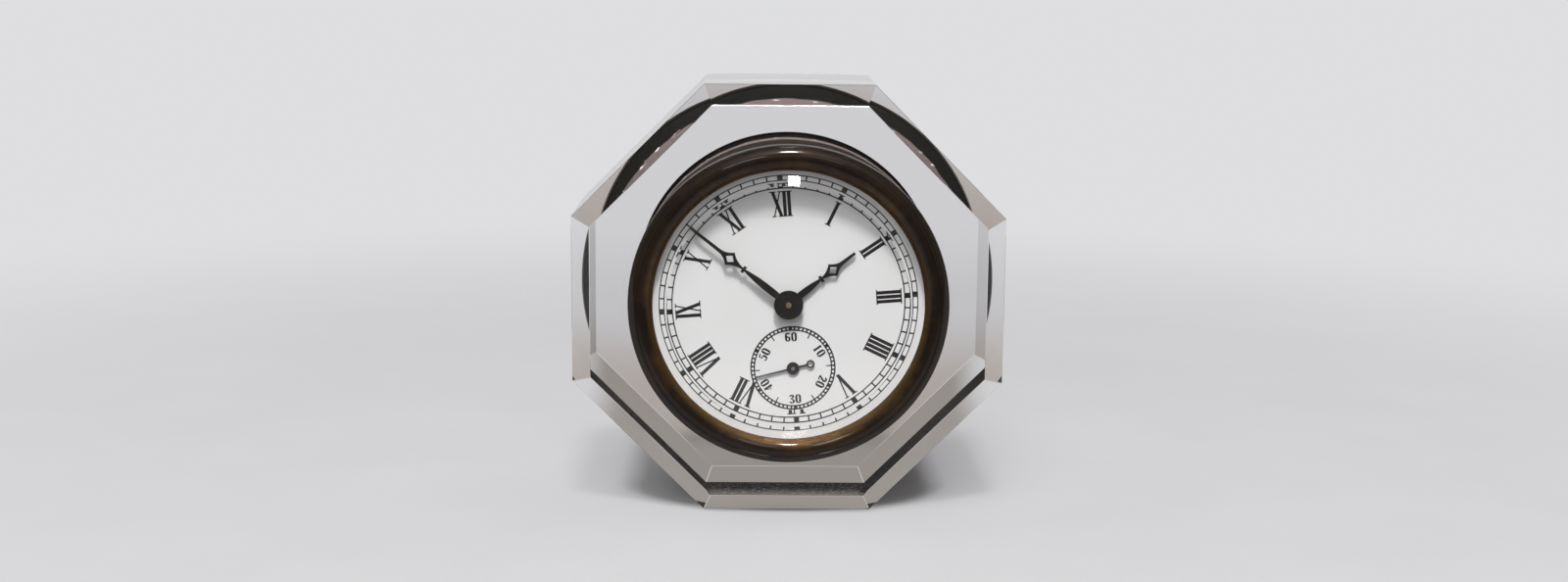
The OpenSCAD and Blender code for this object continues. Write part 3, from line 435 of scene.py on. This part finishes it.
# %% Glass block
HALF_W, HALF_H, CUT, HALF_D = 50, 49.8, 30.5, 22.5
FRONT_BEVEL, REAR_BEVEL, EDGE_BEVEL, SHORT = 4.5, 3.6, 0.1, 0.02
corners = [(HALF_W, CUT - HALF_H), (HALF_W, HALF_H - CUT), (HALF_W - CUT, HALF_H),
           (CUT - HALF_W, HALF_H), (-HALF_W, HALF_H - CUT), (-HALF_W, CUT - HALF_H),
           (CUT - HALF_W, -HALF_H), (HALF_W - CUT, -HALF_H)]
block = bmesh.new()
front = block.faces.new([block.verts.new((x, y, HALF_D - FRONT_BEVEL)) for x, y in corners])
made = bmesh.ops.extrude_face_region(block, geom=[front])
bmesh.ops.translate(block, vec=(0, 0, FRONT_BEVEL + REAR_BEVEL - 2 * HALF_D), verts=verts_in(made))
bmesh.ops.recalc_face_normals(block, faces=block.faces)
for end in [f for f in block.faces if abs(f.normal.z) > 0.9]:
    wide = FRONT_BEVEL if end.normal.z > 0 else REAR_BEVEL
    bmesh.ops.inset_individual(block, faces=[end], thickness=wide, depth=wide - SHORT,
                               use_even_offset=True)
bmesh.ops.bevel(block, geom=block.edges[:], offset=EDGE_BEVEL, offset_type="OFFSET", affect="EDGES",
                segments=2, profile=0.5, material=-1)
print("octagon of", len(block.faces), "faces")

# %% [markdown]
# The bore is two circles bridged into a tube. Each flat face is taken off and filled again between its
# own outline and a circle, which leaves the hole open. Then every face gets its finish: scuffed on the
# facet below, painted inside and polished everywhere else.

# %% Bore
BORE, BORE_STEPS, BIG_FACE = 36, 192, 100
POLISHED, SCUFFED, PAINTED = range(3)
MIDDLE = Matrix.Translation((0, 0, AXIS.z)) @ UPRIGHT @ MILLIMETRES
ends = [f for f in block.faces if abs(f.normal.z) > 0.99 and f.calc_area() > BIG_FACE]
rims = [f.edges[:] for f in ends]
heights = [f.calc_center_median().z for f in ends]
bmesh.ops.delete(block, geom=ends, context="FACES_ONLY")
rings = []
for rim, height in zip(rims, heights):
    ring = circle_edges(block, BORE, BORE_STEPS, (0, 0, height))
    bmesh.ops.triangle_fill(block, use_beauty=True, edges=rim + ring)
    rings += ring
wall = bmesh.ops.bridge_loops(block, edges=rings)["faces"]
for face in block.faces:
    below = face.normal.y < -0.99 and face.calc_area() > BIG_FACE
    face.material_index = SCUFFED if below else POLISHED
for face in wall:
    face.material_index, face.smooth = PAINTED, True
resting = sum(f.material_index == SCUFFED for f in block.faces)
print("bore wall of", len(wall), "faces, resting facets", resting)
settle("glass_slab", block, [polished_glass, scuffed_glass, painted_bore], ["glass_block"],
       MIDDLE, smooth=False)

# %% [markdown]
# ## Aged brass
# The bezel was lacquered brass. It has gone dark brown, and warm metal shows where fingers and cloth
# rubbed it, most of all along the inner edge. Distance from the clock's axis picks the rubbed zone
# and noise breaks it up. A narrow ring on the inner wall, which faces the dial and lies in shade, is
# warm as well: partly rubbed metal, partly painted light over that shade.

# %% Dark patinated brass
INNER_EDGE, RIM_TO, RUBBED_TO = 0.0316, 0.0325, 0.0338


def from_axis(finish, spot):
    """Measures how far a place on the finish is from the clock's axis, in metres."""
    level = add(finish, "VectorMath", {0: spot.outputs["Object"], 1: (0, 0, AXIS.z)},
                operation="SUBTRACT")
    level = add(finish, "VectorMath", {0: level.outputs[0], 1: (1, 0, 1)}, operation="MULTIPLY")
    return add(finish, "VectorMath", {0: level.outputs[0]}, operation="LENGTH")


dark_brass = new_finish("dark patinated brass")
spot = add(dark_brass, "TexCoord", {})
away = from_axis(dark_brass, spot)
inner = add(dark_brass, "MapRange", {"Value": away.outputs["Value"], "From Min": INNER_EDGE,
                                     "From Max": RUBBED_TO, "To Min": 0.7, "To Max": 0.12})
patch = add(dark_brass, "TexNoise", {"Vector": spot.outputs["Object"], "Scale": per_mm(11), "Detail": 4,
                                     "Roughness": 0.6})
patch = add(dark_brass, "MapRange", {"Value": patch.outputs[0], "From Min": 0.44, "From Max": 0.7})
wear_and_painted_light = add(dark_brass, "Math", {0: inner.outputs[0], 1: patch.outputs[0]}, operation="MULTIPLY")
# narrow ring on the shaded inner wall: rubbed metal plus painted light over its shade
rim = add(dark_brass, "MapRange", {"Value": away.outputs["Value"], "From Min": INNER_EDGE,
                                   "From Max": RIM_TO, "To Min": 0.5, "To Max": 0})
wear_and_painted_light = add(dark_brass, "Math", {0: rim.outputs[0], 1: wear_and_painted_light.outputs[0]}, operation="MAXIMUM")
grime = add(dark_brass, "TexNoise", {"Vector": spot.outputs["Object"], "Scale": per_mm(1.6),
                                     "Detail": 5})
brown = add(dark_brass, "Mix", {0: grime.outputs[0], 6: light_of("#110C07"), 7: light_of("#281B10")},
            data_type="RGBA")
warm = add(dark_brass, "Mix", {0: wear_and_painted_light.outputs[0], 6: brown.outputs[2], 7: light_of("#66491F")},
           data_type="RGBA")
dull = add(dark_brass, "MapRange", {"Value": grime.outputs[0], "To Min": 0.42, "To Max": 0.6})
pits = add(dark_brass, "Bump", {"Height": grime.outputs[0], "Strength": 0.12, "Distance": 0.0002})
metal = add(dark_brass, "BsdfPrincipled", {"Base Color": warm.outputs[2], "Metallic": 0.75,
                                           "Roughness": dull.outputs[0], "Normal": pits.outputs[0],
                                           "Coat Weight": 0.35, "Coat Roughness": 0.06})
add(dark_brass, "OutputMaterial", {"Surface": metal.outputs[0]})
print(dark_brass.name)

# %% [markdown]
# ## The bezel
# The bezel is a brass ring turned on a lathe to a half-round section, with a fine groove round its
# outer side. A lathe shape is best drawn as one outline and spun. The half round itself is spun too: a
# single vertex turned about the middle of the section leaves a fine arc behind it, and pushing two of
# its points inwards cuts the groove.

# %% Bezel
ROUND, ROUND_R, FOOT_R, FULL_TURN = Vector((33.8, 0, 2.1)), 2.9, 36.7, 6.28
GROOVE_IN, GROOVE_OUT, GROOVE_SCALE = 34.6, 34.95, (0.95, 1, 0.95)
SEAT = ((32.03, 2.1), (32.03, 1.6), (35.8, 1.6), (35.8, SHORT))
shape = bmesh.new()
first = shape.verts.new(ROUND + Vector((ROUND_R, 0, 0)))
bmesh.ops.spin(shape, geom=[first], axis=(0, -1, 0), cent=ROUND, angle=radians(166), steps=56)
arc = sorted(shape.verts, key=lambda v: (v.co - ROUND).xz.angle_signed(Vector((1, 0))) % FULL_TURN)
bmesh.ops.delete(shape, geom=shape.edges[:], context="EDGES_FACES")
groove = [v for v in arc if GROOVE_IN < v.co.x < GROOVE_OUT and v.co.z > ROUND.z]
bmesh.ops.scale(shape, vec=GROOVE_SCALE, space=Matrix.Translation(-ROUND), verts=groove)
seat = [shape.verts.new((r, 0, h)) for r, h in SEAT]
foot = shape.verts.new((FOOT_R, 0, SHORT))
turn(shape, [foot, *arc, *seat, foot])
print("groove of", len(groove), "points")
settle("half_round_bezel", shape, [dark_brass], ["bezel"])

# %% [markdown]
# ## The crystal
# The watch glass over the dial is a thick disc with a wide polished bevel. The bevel bends the view,
# which is why the minute ring shows twice near the edge. Only true geometry with a true refractive
# index gives that, so the crystal is spun from its real outline.

# %% Crystal
crystal_glass = new_finish("polished crystal glass")
spot = add(crystal_glass, "TexCoord", {})
smear = add(crystal_glass, "TexNoise", {"Vector": spot.outputs["Object"], "Scale": per_mm(12),
                                        "Detail": 3})
haze = add(crystal_glass, "MapRange", {"Value": smear.outputs[0], "From Min": 0.5, "From Max": 0.8,
                                       "To Min": 0.0, "To Max": 0.004})
glass = add(crystal_glass, "BsdfPrincipled", {"Base Color": light_of("#FFFFFF"), "IOR": 1.52,
                                              "Roughness": haze.outputs[0], "Transmission Weight": 1})
both = lamps_pass(crystal_glass, glass, "#FAFAFA")
add(crystal_glass, "OutputMaterial", {"Surface": both.outputs[0]})

shape = bmesh.new()
outline = ((0, 1.6), (31.97, 1.6), (31.97, 1.95), (27.72, 4.97), (0, 4.97))
turn(shape, [shape.verts.new((r, 0, h)) for r, h in outline])
settle("bevelled_crystal", shape, [crystal_glass], ["crystal"])

# %% [markdown]
# ## Enamel and ink
# The dial is copper under fired white enamel: a glassy white with a faint unevenness from the firing.
# The markings are fired on in black and stand a hair above the white.

# %% Dial finishes
enamel = new_finish("fired white enamel")
spot = add(enamel, "TexCoord", {})
cloud = add(enamel, "TexNoise", {"Vector": spot.outputs["Object"], "Scale": per_mm(14), "Detail": 3})
white = add(enamel, "Mix", {0: cloud.outputs[0], 6: light_of("#EFEEED"), 7: light_of("#F5F5F5")},
            data_type="RGBA")
ripple = add(enamel, "Bump", {"Height": cloud.outputs[0], "Strength": 0.05, "Distance": 0.001})
glaze = add(enamel, "BsdfPrincipled", {"Base Color": white.outputs[2], "Roughness": 0.15, "IOR": 1.5,
                                       "Normal": ripple.outputs[0]})
add(enamel, "OutputMaterial", {"Surface": glaze.outputs[0]})

ink = new_finish("fired black print")
spot = add(ink, "TexCoord", {})
thin = add(ink, "TexNoise", {"Vector": spot.outputs["Object"], "Scale": per_mm(0.8), "Detail": 3})
black = add(ink, "Mix", {0: thin.outputs[0], 6: light_of("#0D0D0E"), 7: light_of("#232222")},
            data_type="RGBA")
coat = add(ink, "BsdfPrincipled", {"Base Color": black.outputs[2], "Roughness": 0.35})
add(ink, "OutputMaterial", {"Surface": coat.outputs[0]})
print(enamel.name, "and", ink.name)

# %% [markdown]
# ## Printing the dial
# Each mark is a flat stroke of four corners, turned to its place on the dial and given the thickness
# of the print at the end. A ring is two circles with the space between them bridged.

# %% Print helpers
DIAL_TOP, PRINT, RING_STEPS = -1.5, 0.02, 240


def stroke(shape, foot, head, width, low, high):
    half = width / 2
    corners = ((foot - half, low), (foot + half, low), (head + half, high), (head - half, high))
    shape.faces.new([shape.verts.new((x, y, 0)) for x, y in corners])


def rotate_from(shape, start, degrees, centre=(0, 0, 0)):
    """Turns every vertex after the first few clockwise about a point of the dial."""
    shape.verts.ensure_lookup_table()
    bmesh.ops.rotate(shape, verts=shape.verts[start:], cent=centre,
                     matrix=Matrix.Rotation(radians(-degrees), 3, "Z"))


def printed_ring(shape, inner, outer, centre=(0, 0, 0)):
    both = [e for radius in (inner, outer) for e in circle_edges(shape, radius, RING_STEPS, centre)]
    bmesh.ops.bridge_loops(shape, edges=both)


def print_on(name, shape, height):
    """Gives flat marks the thickness of the print and settles them at a height on the axis."""
    bmesh.ops.dissolve_degenerate(shape, edges=shape.edges, dist=0.001)
    made = bmesh.ops.extrude_face_region(shape, geom=shape.faces[:], use_keep_orig=True)
    bmesh.ops.translate(shape, vec=(0, 0, PRINT), verts=verts_in(made))
    bmesh.ops.translate(shape, vec=(0, 0, height), verts=shape.verts)
    settle(name, shape, [ink], smooth=False)


print("print stands", PRINT, "mm above the dial")

# %% Minute ring
INNER_LINE, OUTER_LINE, MARK = (26.54, 26.82), (27.84, 28.12), (26.68, 27.98)
MINUTE_W, FIVE_W = 0.34, 1.2
shape = bmesh.new()
printed_ring(shape, *INNER_LINE)
printed_ring(shape, *OUTER_LINE)
for minute in range(60):
    start = len(shape.verts)
    stroke(shape, 0, 0, MINUTE_W if minute % 5 else FIVE_W, *MARK)
    rotate_from(shape, start, 6 * minute)
print_on("minute_track", shape, DIAL_TOP)

# %% [markdown]
# Roman numerals are only thick and thin strokes with short bars across their ends, so a small table of
# letters is enough: for each stroke where its foot and its head stand, and its width. The six is cut
# off where the seconds dial begins.

# %% Hour numerals
THICK, THIN, BASE, TOP, BAR, BAR_OVER, SIX_CUT = 0.78, 0.31, 20.15, 26.0, 0.24, 0.7, 24.93
ADVANCE = {"I": 1.04, "V": 2.6, "X": 2.4}
LETTERS = {"I": ((0, 0, THICK),),
           "V": ((0, -1.0, THICK), (0, 1.0, THIN)),
           "X": ((0.92, -0.92, THICK), (-0.76, 0.76, THIN))}
HOURS = ("XII", "I", "II", "III", "IIII", "V", "VI", "VII", "VIII", "IX", "X", "XI")


def numeral(shape, word):
    x = -sum(ADVANCE[c] for c in word) / 2
    for letter in word:
        x += ADVANCE[letter] / 2
        for foot, head, width in LETTERS[letter]:
            stroke(shape, x + foot, x + head, width, BASE, TOP)
            bar = width + BAR_OVER
            stroke(shape, x + head, x + head, bar, TOP - BAR, TOP)
            if letter != "V":
                stroke(shape, x + foot, x + foot, bar, BASE, BASE + BAR)
        x += ADVANCE[letter] / 2


shape = bmesh.new()
numeral(shape, "VI")
bmesh.ops.bisect_plane(shape, geom=shape.verts[:] + shape.edges[:] + shape.faces[:],
                       plane_co=(0, SIX_CUT, 0), plane_no=(0, 1, 0), clear_inner=True)
rotate_from(shape, 0, 180)
for hour, word in enumerate(HOURS):
    if word != "VI":
        start = len(shape.verts)
        numeral(shape, word)
        rotate_from(shape, start, 30 * hour)
print_on("hour_numerals", shape, DIAL_TOP)

# %% [markdown]
# ## The seconds dial
# The small dial has a ring of sixty cells, a heavier mark every ten seconds and a short tick between.

# %% Seconds track
SECONDS = (0, -15.1, 0)
INNER_LINE, OUTER_LINE = (8.75, 9.05), (9.5, 9.83)
MARK, TICK = [SECONDS[1] + r for r in (9.0, 9.6)], [SECONDS[1] + r for r in (7.65, 8.8)]
SECOND_W, TEN_W, TICK_W = 0.38, 0.8, 0.26
shape = bmesh.new()
printed_ring(shape, *OUTER_LINE, SECONDS)
printed_ring(shape, *INNER_LINE, SECONDS)
for second in range(60):
    start = len(shape.verts)
    stroke(shape, 0, 0, SECOND_W if second % 10 else TEN_W, *MARK)
    if second % 10 == 5:
        stroke(shape, 0, 0, TICK_W, *TICK)
    rotate_from(shape, start, 6 * second, SECONDS)
print_on("seconds_track", shape, DIAL_TOP)

# %% [markdown]
# The figures have thick uprights and thin turns, as a broad pen leaves them. They are made like that: a
# smooth line through a few points is pushed sideways by the width of the pen, and once more by a little
# upwards so that the thin parts are never lost. Each line has its pen, whether it is closed, whether it
# runs straight or curved from point to point, and its points.

# %% Figures
BROAD, FINE = ((0.48, 0, 0), (0, 0.17, 0)), ((0.17, 0, 0), (0, 0.17, 0))
FLAT = ((0.17, 0, 0), (0, 0.3, 0))
CURVED, STRAIGHT = "AUTO", "VECTOR"
FIGURES = {
    "0": [(BROAD, True, CURVED, ((0.6, 2), (0.18, 1), (0.6, 0), (1.02, 1)))],
    "1": [(BROAD, False, STRAIGHT, ((0.62, 1.98), (0.62, 0))),
          (FINE, False, STRAIGHT, ((0.28, 1.7), (0.58, 1.95))),
          (FINE, False, STRAIGHT, ((0.2, 0.04), (1.04, 0.04)))],
    "2": [(BROAD, False, CURVED, ((0.24, 1.45), (0.58, 1.98), (0.95, 1.5), (0.58, 0.72), (0.16, 0.14))),
          (FLAT, False, STRAIGHT, ((0.16, 0.13), (1.0, 0.13))),
          (FINE, False, STRAIGHT, ((1.02, 0.1), (1.07, 0.5)))],
    "3": [(BROAD, False, CURVED, ((0.2, 1.58), (0.58, 1.98), (0.92, 1.54), (0.46, 1.1))),
          (BROAD, False, CURVED, ((0.46, 1.1), (1.0, 0.58), (0.58, 0.02), (0.16, 0.4)))],
    "4": [(BROAD, False, STRAIGHT, ((0.78, 1.98), (0.78, 0))),
          (FINE, False, STRAIGHT, ((0.72, 1.95), (0.1, 0.6))),
          (FINE, False, STRAIGHT, ((0.08, 0.58), (1.12, 0.58))),
          (FINE, False, STRAIGHT, ((0.44, 0.04), (1.1, 0.04)))],
    "5": [(FLAT, False, STRAIGHT, ((0.28, 1.86), (0.98, 1.88))),
          (FINE, False, STRAIGHT, ((0.28, 1.9), (0.24, 1.1))),
          (BROAD, False, CURVED, ((0.24, 1.08), (0.62, 1.28), (1.0, 0.64), (0.56, 0.02), (0.16, 0.36)))],
    "6": [(BROAD, False, CURVED, ((0.98, 1.62), (0.64, 1.98), (0.2, 0.95), (0.6, 0.02), (1.0, 0.6),
                                  (0.62, 1.15), (0.22, 0.7)))],
}
print("figures", *FIGURES)

# %% Seconds figures
FIGURE_R, HALF_FIGURE, TENS_X, ZERO_X, PEN_STEPS = 7.3, 1, -1.33, 0.13, 6


def pen_line(closed, handle, points):
    """A line through a few points as a mesh of edges."""
    curve = bpy.data.curves.new("pen", "CURVE")
    curve.dimensions = "3D"
    spline = curve.splines.new("BEZIER")
    spline.bezier_points.add(len(points) - 1)
    spline.use_cyclic_u, spline.resolution_u = closed, PEN_STEPS
    for knot, (x, y) in zip(spline.bezier_points, points):
        knot.co = (x, y, 0)
        knot.handle_left_type = knot.handle_right_type = handle
    holder = bpy.data.objects.new("pen", curve)
    bpy.context.scene.collection.objects.link(holder)
    bpy.context.view_layer.update()
    line = bpy.data.meshes.new_from_object(holder.evaluated_get(bpy.context.evaluated_depsgraph_get()))
    bpy.data.objects.remove(holder)
    return line


def figure(shape, digit, x, y):
    for pen, *line in FIGURES[digit]:
        path = pen_line(*line)
        for push in pen:
            start = len(shape.verts), len(shape.edges)
            shape.from_mesh(path)
            shape.verts.ensure_lookup_table()
            shape.edges.ensure_lookup_table()
            bmesh.ops.translate(shape, vec=Vector((x, y, 0)) - Vector(push) / 2,
                                verts=shape.verts[start[0]:])
            made = bmesh.ops.extrude_edge_only(shape, edges=shape.edges[start[1]:])
            bmesh.ops.translate(shape, vec=push, verts=verts_in(made))


shape = bmesh.new()
for count, tens in enumerate("612345"):
    start = len(shape.verts)
    at = SECONDS[1] + (FIGURE_R if tens != "3" else -FIGURE_R) - HALF_FIGURE
    figure(shape, tens, TENS_X, at)
    figure(shape, "0", ZERO_X, at)
    rotate_from(shape, start, 60 * count if tens != "3" else 0, SECONDS)
print_on("seconds_figures", shape, DIAL_TOP)

# %% [markdown]
# ## Hands
# The hands are pressed steel, blacked and left with a soft sheen. Their shape comes from the CAD
# model, so they only need their finish. The end of the centre arbor shows in the hub as a brown dot.

# %% Hand finishes
blacked_steel = new_finish("blacked steel")
spot = add(blacked_steel, "TexCoord", {})
scale = add(blacked_steel, "TexNoise", {"Vector": spot.outputs["Object"], "Scale": per_mm(1.5),
                                        "Detail": 5})
black = add(blacked_steel, "Mix", {0: scale.outputs[0], 6: light_of("#0C0B0B"), 7: light_of("#1C1A19")},
            data_type="RGBA")
dull = add(blacked_steel, "MapRange", {"Value": scale.outputs[0], "To Min": 0.28, "To Max": 0.42})
coat = add(blacked_steel, "BsdfPrincipled", {"Base Color": black.outputs[2],
                                             "Roughness": dull.outputs[0]})
add(blacked_steel, "OutputMaterial", {"Surface": coat.outputs[0]})

browned_steel = new_finish("browned steel")
spot = add(browned_steel, "TexCoord", {})
rust = add(browned_steel, "TexNoise", {"Vector": spot.outputs["Object"], "Scale": per_mm(0.6),
                                       "Detail": 4})
brown = add(browned_steel, "Mix", {0: rust.outputs[0], 6: light_of("#6A5848"), 7: light_of("#AA9074")},
            data_type="RGBA")
metal = add(browned_steel, "BsdfPrincipled", {"Base Color": brown.outputs[2], "Metallic": 0.8,
                                              "Roughness": 0.5})
add(browned_steel, "OutputMaterial", {"Surface": metal.outputs[0]})
print(blacked_steel.name, "and", browned_steel.name)

# %% [markdown]
# ## Metals of the movement and the back
# Wheels, plates, key and knob are brass with the fine lines of a satin finish and a little tarnish.
# Arbors and pinions are bright steel, and the springs are tempered to a dark blue. The lines are
# stretched noise, drawn about ten times coarser than real ones so that they show.

# %% Brass, steel and blued steel
STRETCH = (1, 0.15, 0.15)


def satin_metal(name, dark, light, low, high, grain_mm):
    metal = new_finish(name)
    spot = add(metal, "TexCoord", {})
    drawn = add(metal, "Mapping", {"Vector": spot.outputs["Object"], "Scale": STRETCH})
    lines = add(metal, "TexNoise", {"Vector": drawn.outputs[0], "Scale": per_mm(grain_mm), "Detail": 4})
    tarnish = add(metal, "TexNoise", {"Vector": spot.outputs["Object"], "Scale": per_mm(8), "Detail": 4})
    colour = add(metal, "Mix", {0: tarnish.outputs[0], 6: light_of(dark), 7: light_of(light)},
                 data_type="RGBA")
    sheen = add(metal, "MapRange", {"Value": lines.outputs[0], "To Min": low, "To Max": high})
    marks = add(metal, "Bump", {"Height": lines.outputs[0], "Strength": 0.1, "Distance": 0.0001})
    body = add(metal, "BsdfPrincipled", {"Base Color": colour.outputs[2], "Metallic": 1,
                                         "Roughness": sheen.outputs[0], "Normal": marks.outputs[0]})
    add(metal, "OutputMaterial", {"Surface": body.outputs[0]})
    print(name)
    return metal


satin_brass = satin_metal("satin brass", "#9C7C45", "#CFAE6B", 0.2, 0.45, 0.3)
bright_steel = satin_metal("bright steel", "#8E8F92", "#B9BABD", 0.15, 0.35, 0.3)
blued_steel = satin_metal("blued spring steel", "#1B2540", "#3A4E7C", 0.2, 0.4, 0.5)

# %% [markdown]
# The back cover was turned on a lathe, and the tool left fine rings on it. Noise that only reads the
# distance from the clock's axis gives such rings. They are drawn about five times coarser than real
# ones so that they show. Grime sits round the edge, and the side that lies against the glass is
# darker as well.

# %% Turned brass
GRIME_FROM, GRIME_FULL, COVER_FRONT, GLASS_SIDE = 0.0325, 0.0372, 0.0235, 0.0232
turned_brass = new_finish("turned brass, tarnished")
spot = add(turned_brass, "TexCoord", {})
away = from_axis(turned_brass, spot)
rings = add(turned_brass, "TexNoise", {"W": away.outputs["Value"], "Scale": per_mm(0.5), "Detail": 3},
            noise_dimensions="1D")
tarnish = add(turned_brass, "TexNoise", {"Vector": spot.outputs["Object"], "Scale": per_mm(5),
                                         "Detail": 6, "Roughness": 0.6})
tarnish = add(turned_brass, "Math", {0: tarnish.outputs[0], 1: rings.outputs[0]}, operation="ADD")
tarnish = add(turned_brass, "MapRange", {"Value": tarnish.outputs[0], "From Min": 0.65,
                                         "From Max": 1.35})
colour = add(turned_brass, "Mix", {0: tarnish.outputs[0], 6: light_of("#7E6138"),
                                   7: light_of("#BC9A5E")}, data_type="RGBA")
darkened_share = add(turned_brass, "MapRange", {"Value": away.outputs["Value"], "From Min": GRIME_FROM,
                                       "From Max": GRIME_FULL, "To Max": 0.6})
depth = add(turned_brass, "SeparateXYZ", {0: spot.outputs["Object"]})
# the side that lies against the glass is made darker
inside = add(turned_brass, "MapRange", {"Value": depth.outputs["Y"], "From Min": COVER_FRONT,
                                        "From Max": GLASS_SIDE})
darkened_share = add(turned_brass, "Math", {0: darkened_share.outputs[0], 1: inside.outputs[0]}, operation="MAXIMUM")
colour = add(turned_brass, "Mix", {0: darkened_share.outputs[0], 6: colour.outputs[2], 7: light_of("#1E170D")},
             data_type="RGBA")
sheen = add(turned_brass, "MapRange", {"Value": rings.outputs[0], "To Min": 0.25, "To Max": 0.5})
marks = add(turned_brass, "Bump", {"Height": rings.outputs[0], "Strength": 0.2, "Distance": 0.0001})
body = add(turned_brass, "BsdfPrincipled", {"Base Color": colour.outputs[2], "Metallic": 1,
                                            "Roughness": sheen.outputs[0], "Normal": marks.outputs[0]})
add(turned_brass, "OutputMaterial", {"Surface": body.outputs[0]})
print(turned_brass.name)

# %% [markdown]
# ## Marks on the back
# Whoever winds and regulates the clock needs two hints, so they are printed on the back cover in black:
# a curved arrow beside the key and a scale beside the slot of the regulator, from slow to fast. The
# ticks are strokes again. The shaft of the arrow is one short edge spun about the key.

# %% Back marks
BALANCE, KEY, COVER_BACK = Vector((17.02, 2.5, 0)), Vector((-5.75, 15.79, 0)), -46.2
TICK, LONG_TICK = (0.3, 12.2, 13.2), (0.3, 12.2, 13.8)
ACROSS, UPWARDS = (1.3, 12.55, 12.85), (0.3, 12.05, 13.35)
SCALE = {4: [TICK], 12: [TICK], 20: [LONG_TICK], 28: [TICK], 36: [TICK], -8: [ACROSS],
         48: [ACROSS, UPWARDS]}
ARROW, SHAFT, SWEEP = ((0, 11.6, 0), (0, 13.6, 0), (2, 12.6, 0)), (12.4, 12.8), 60
shape = bmesh.new()
for angle, bars in SCALE.items():
    start = len(shape.verts)
    for width, low, high in bars:
        stroke(shape, BALANCE.x, BALANCE.x, width, BALANCE.y + low, BALANCE.y + high)
    rotate_from(shape, start, 90 - angle, BALANCE)
start = len(shape.verts)
shape.faces.new([shape.verts.new(KEY + Vector(p)) for p in ARROW])
shaft = [shape.verts.new(KEY + Vector((0, r, 0))) for r in SHAFT]
bmesh.ops.spin(shape, geom=[*shaft, shape.edges.new(shaft)], axis=(0, 0, 1), cent=KEY,
               angle=radians(SWEEP), steps=24)
rotate_from(shape, start, -SWEEP, KEY)
print_on("back_marks", shape, COVER_BACK - PRINT)

# %% [markdown]
# ## The rest of the clock
# Every piece that keeps its CAD shape gets the finish of its material slot. Two have one of their own:
# the end of the centre arbor has browned, and the back cover shows the marks of the lathe.

# %% Finishes for the CAD nodes
OWN = {"centre_arbor": browned_steel, "back_cover": turned_brass}
FINISH = {"patinated_brass": dark_brass, "brass": satin_brass, "enamel": enamel,
          "black_steel": blacked_steel, "steel": bright_steel, "blued_spring": blued_steel,
          "glass": crystal_glass}
for part in frame["record"]["subparts"]:
    holder = frame["nodes"][part["node"]]
    finish = OWN.get(part["node"], FINISH[part["material_slot"]])
    for place in holder.material_slots:
        place.material = finish
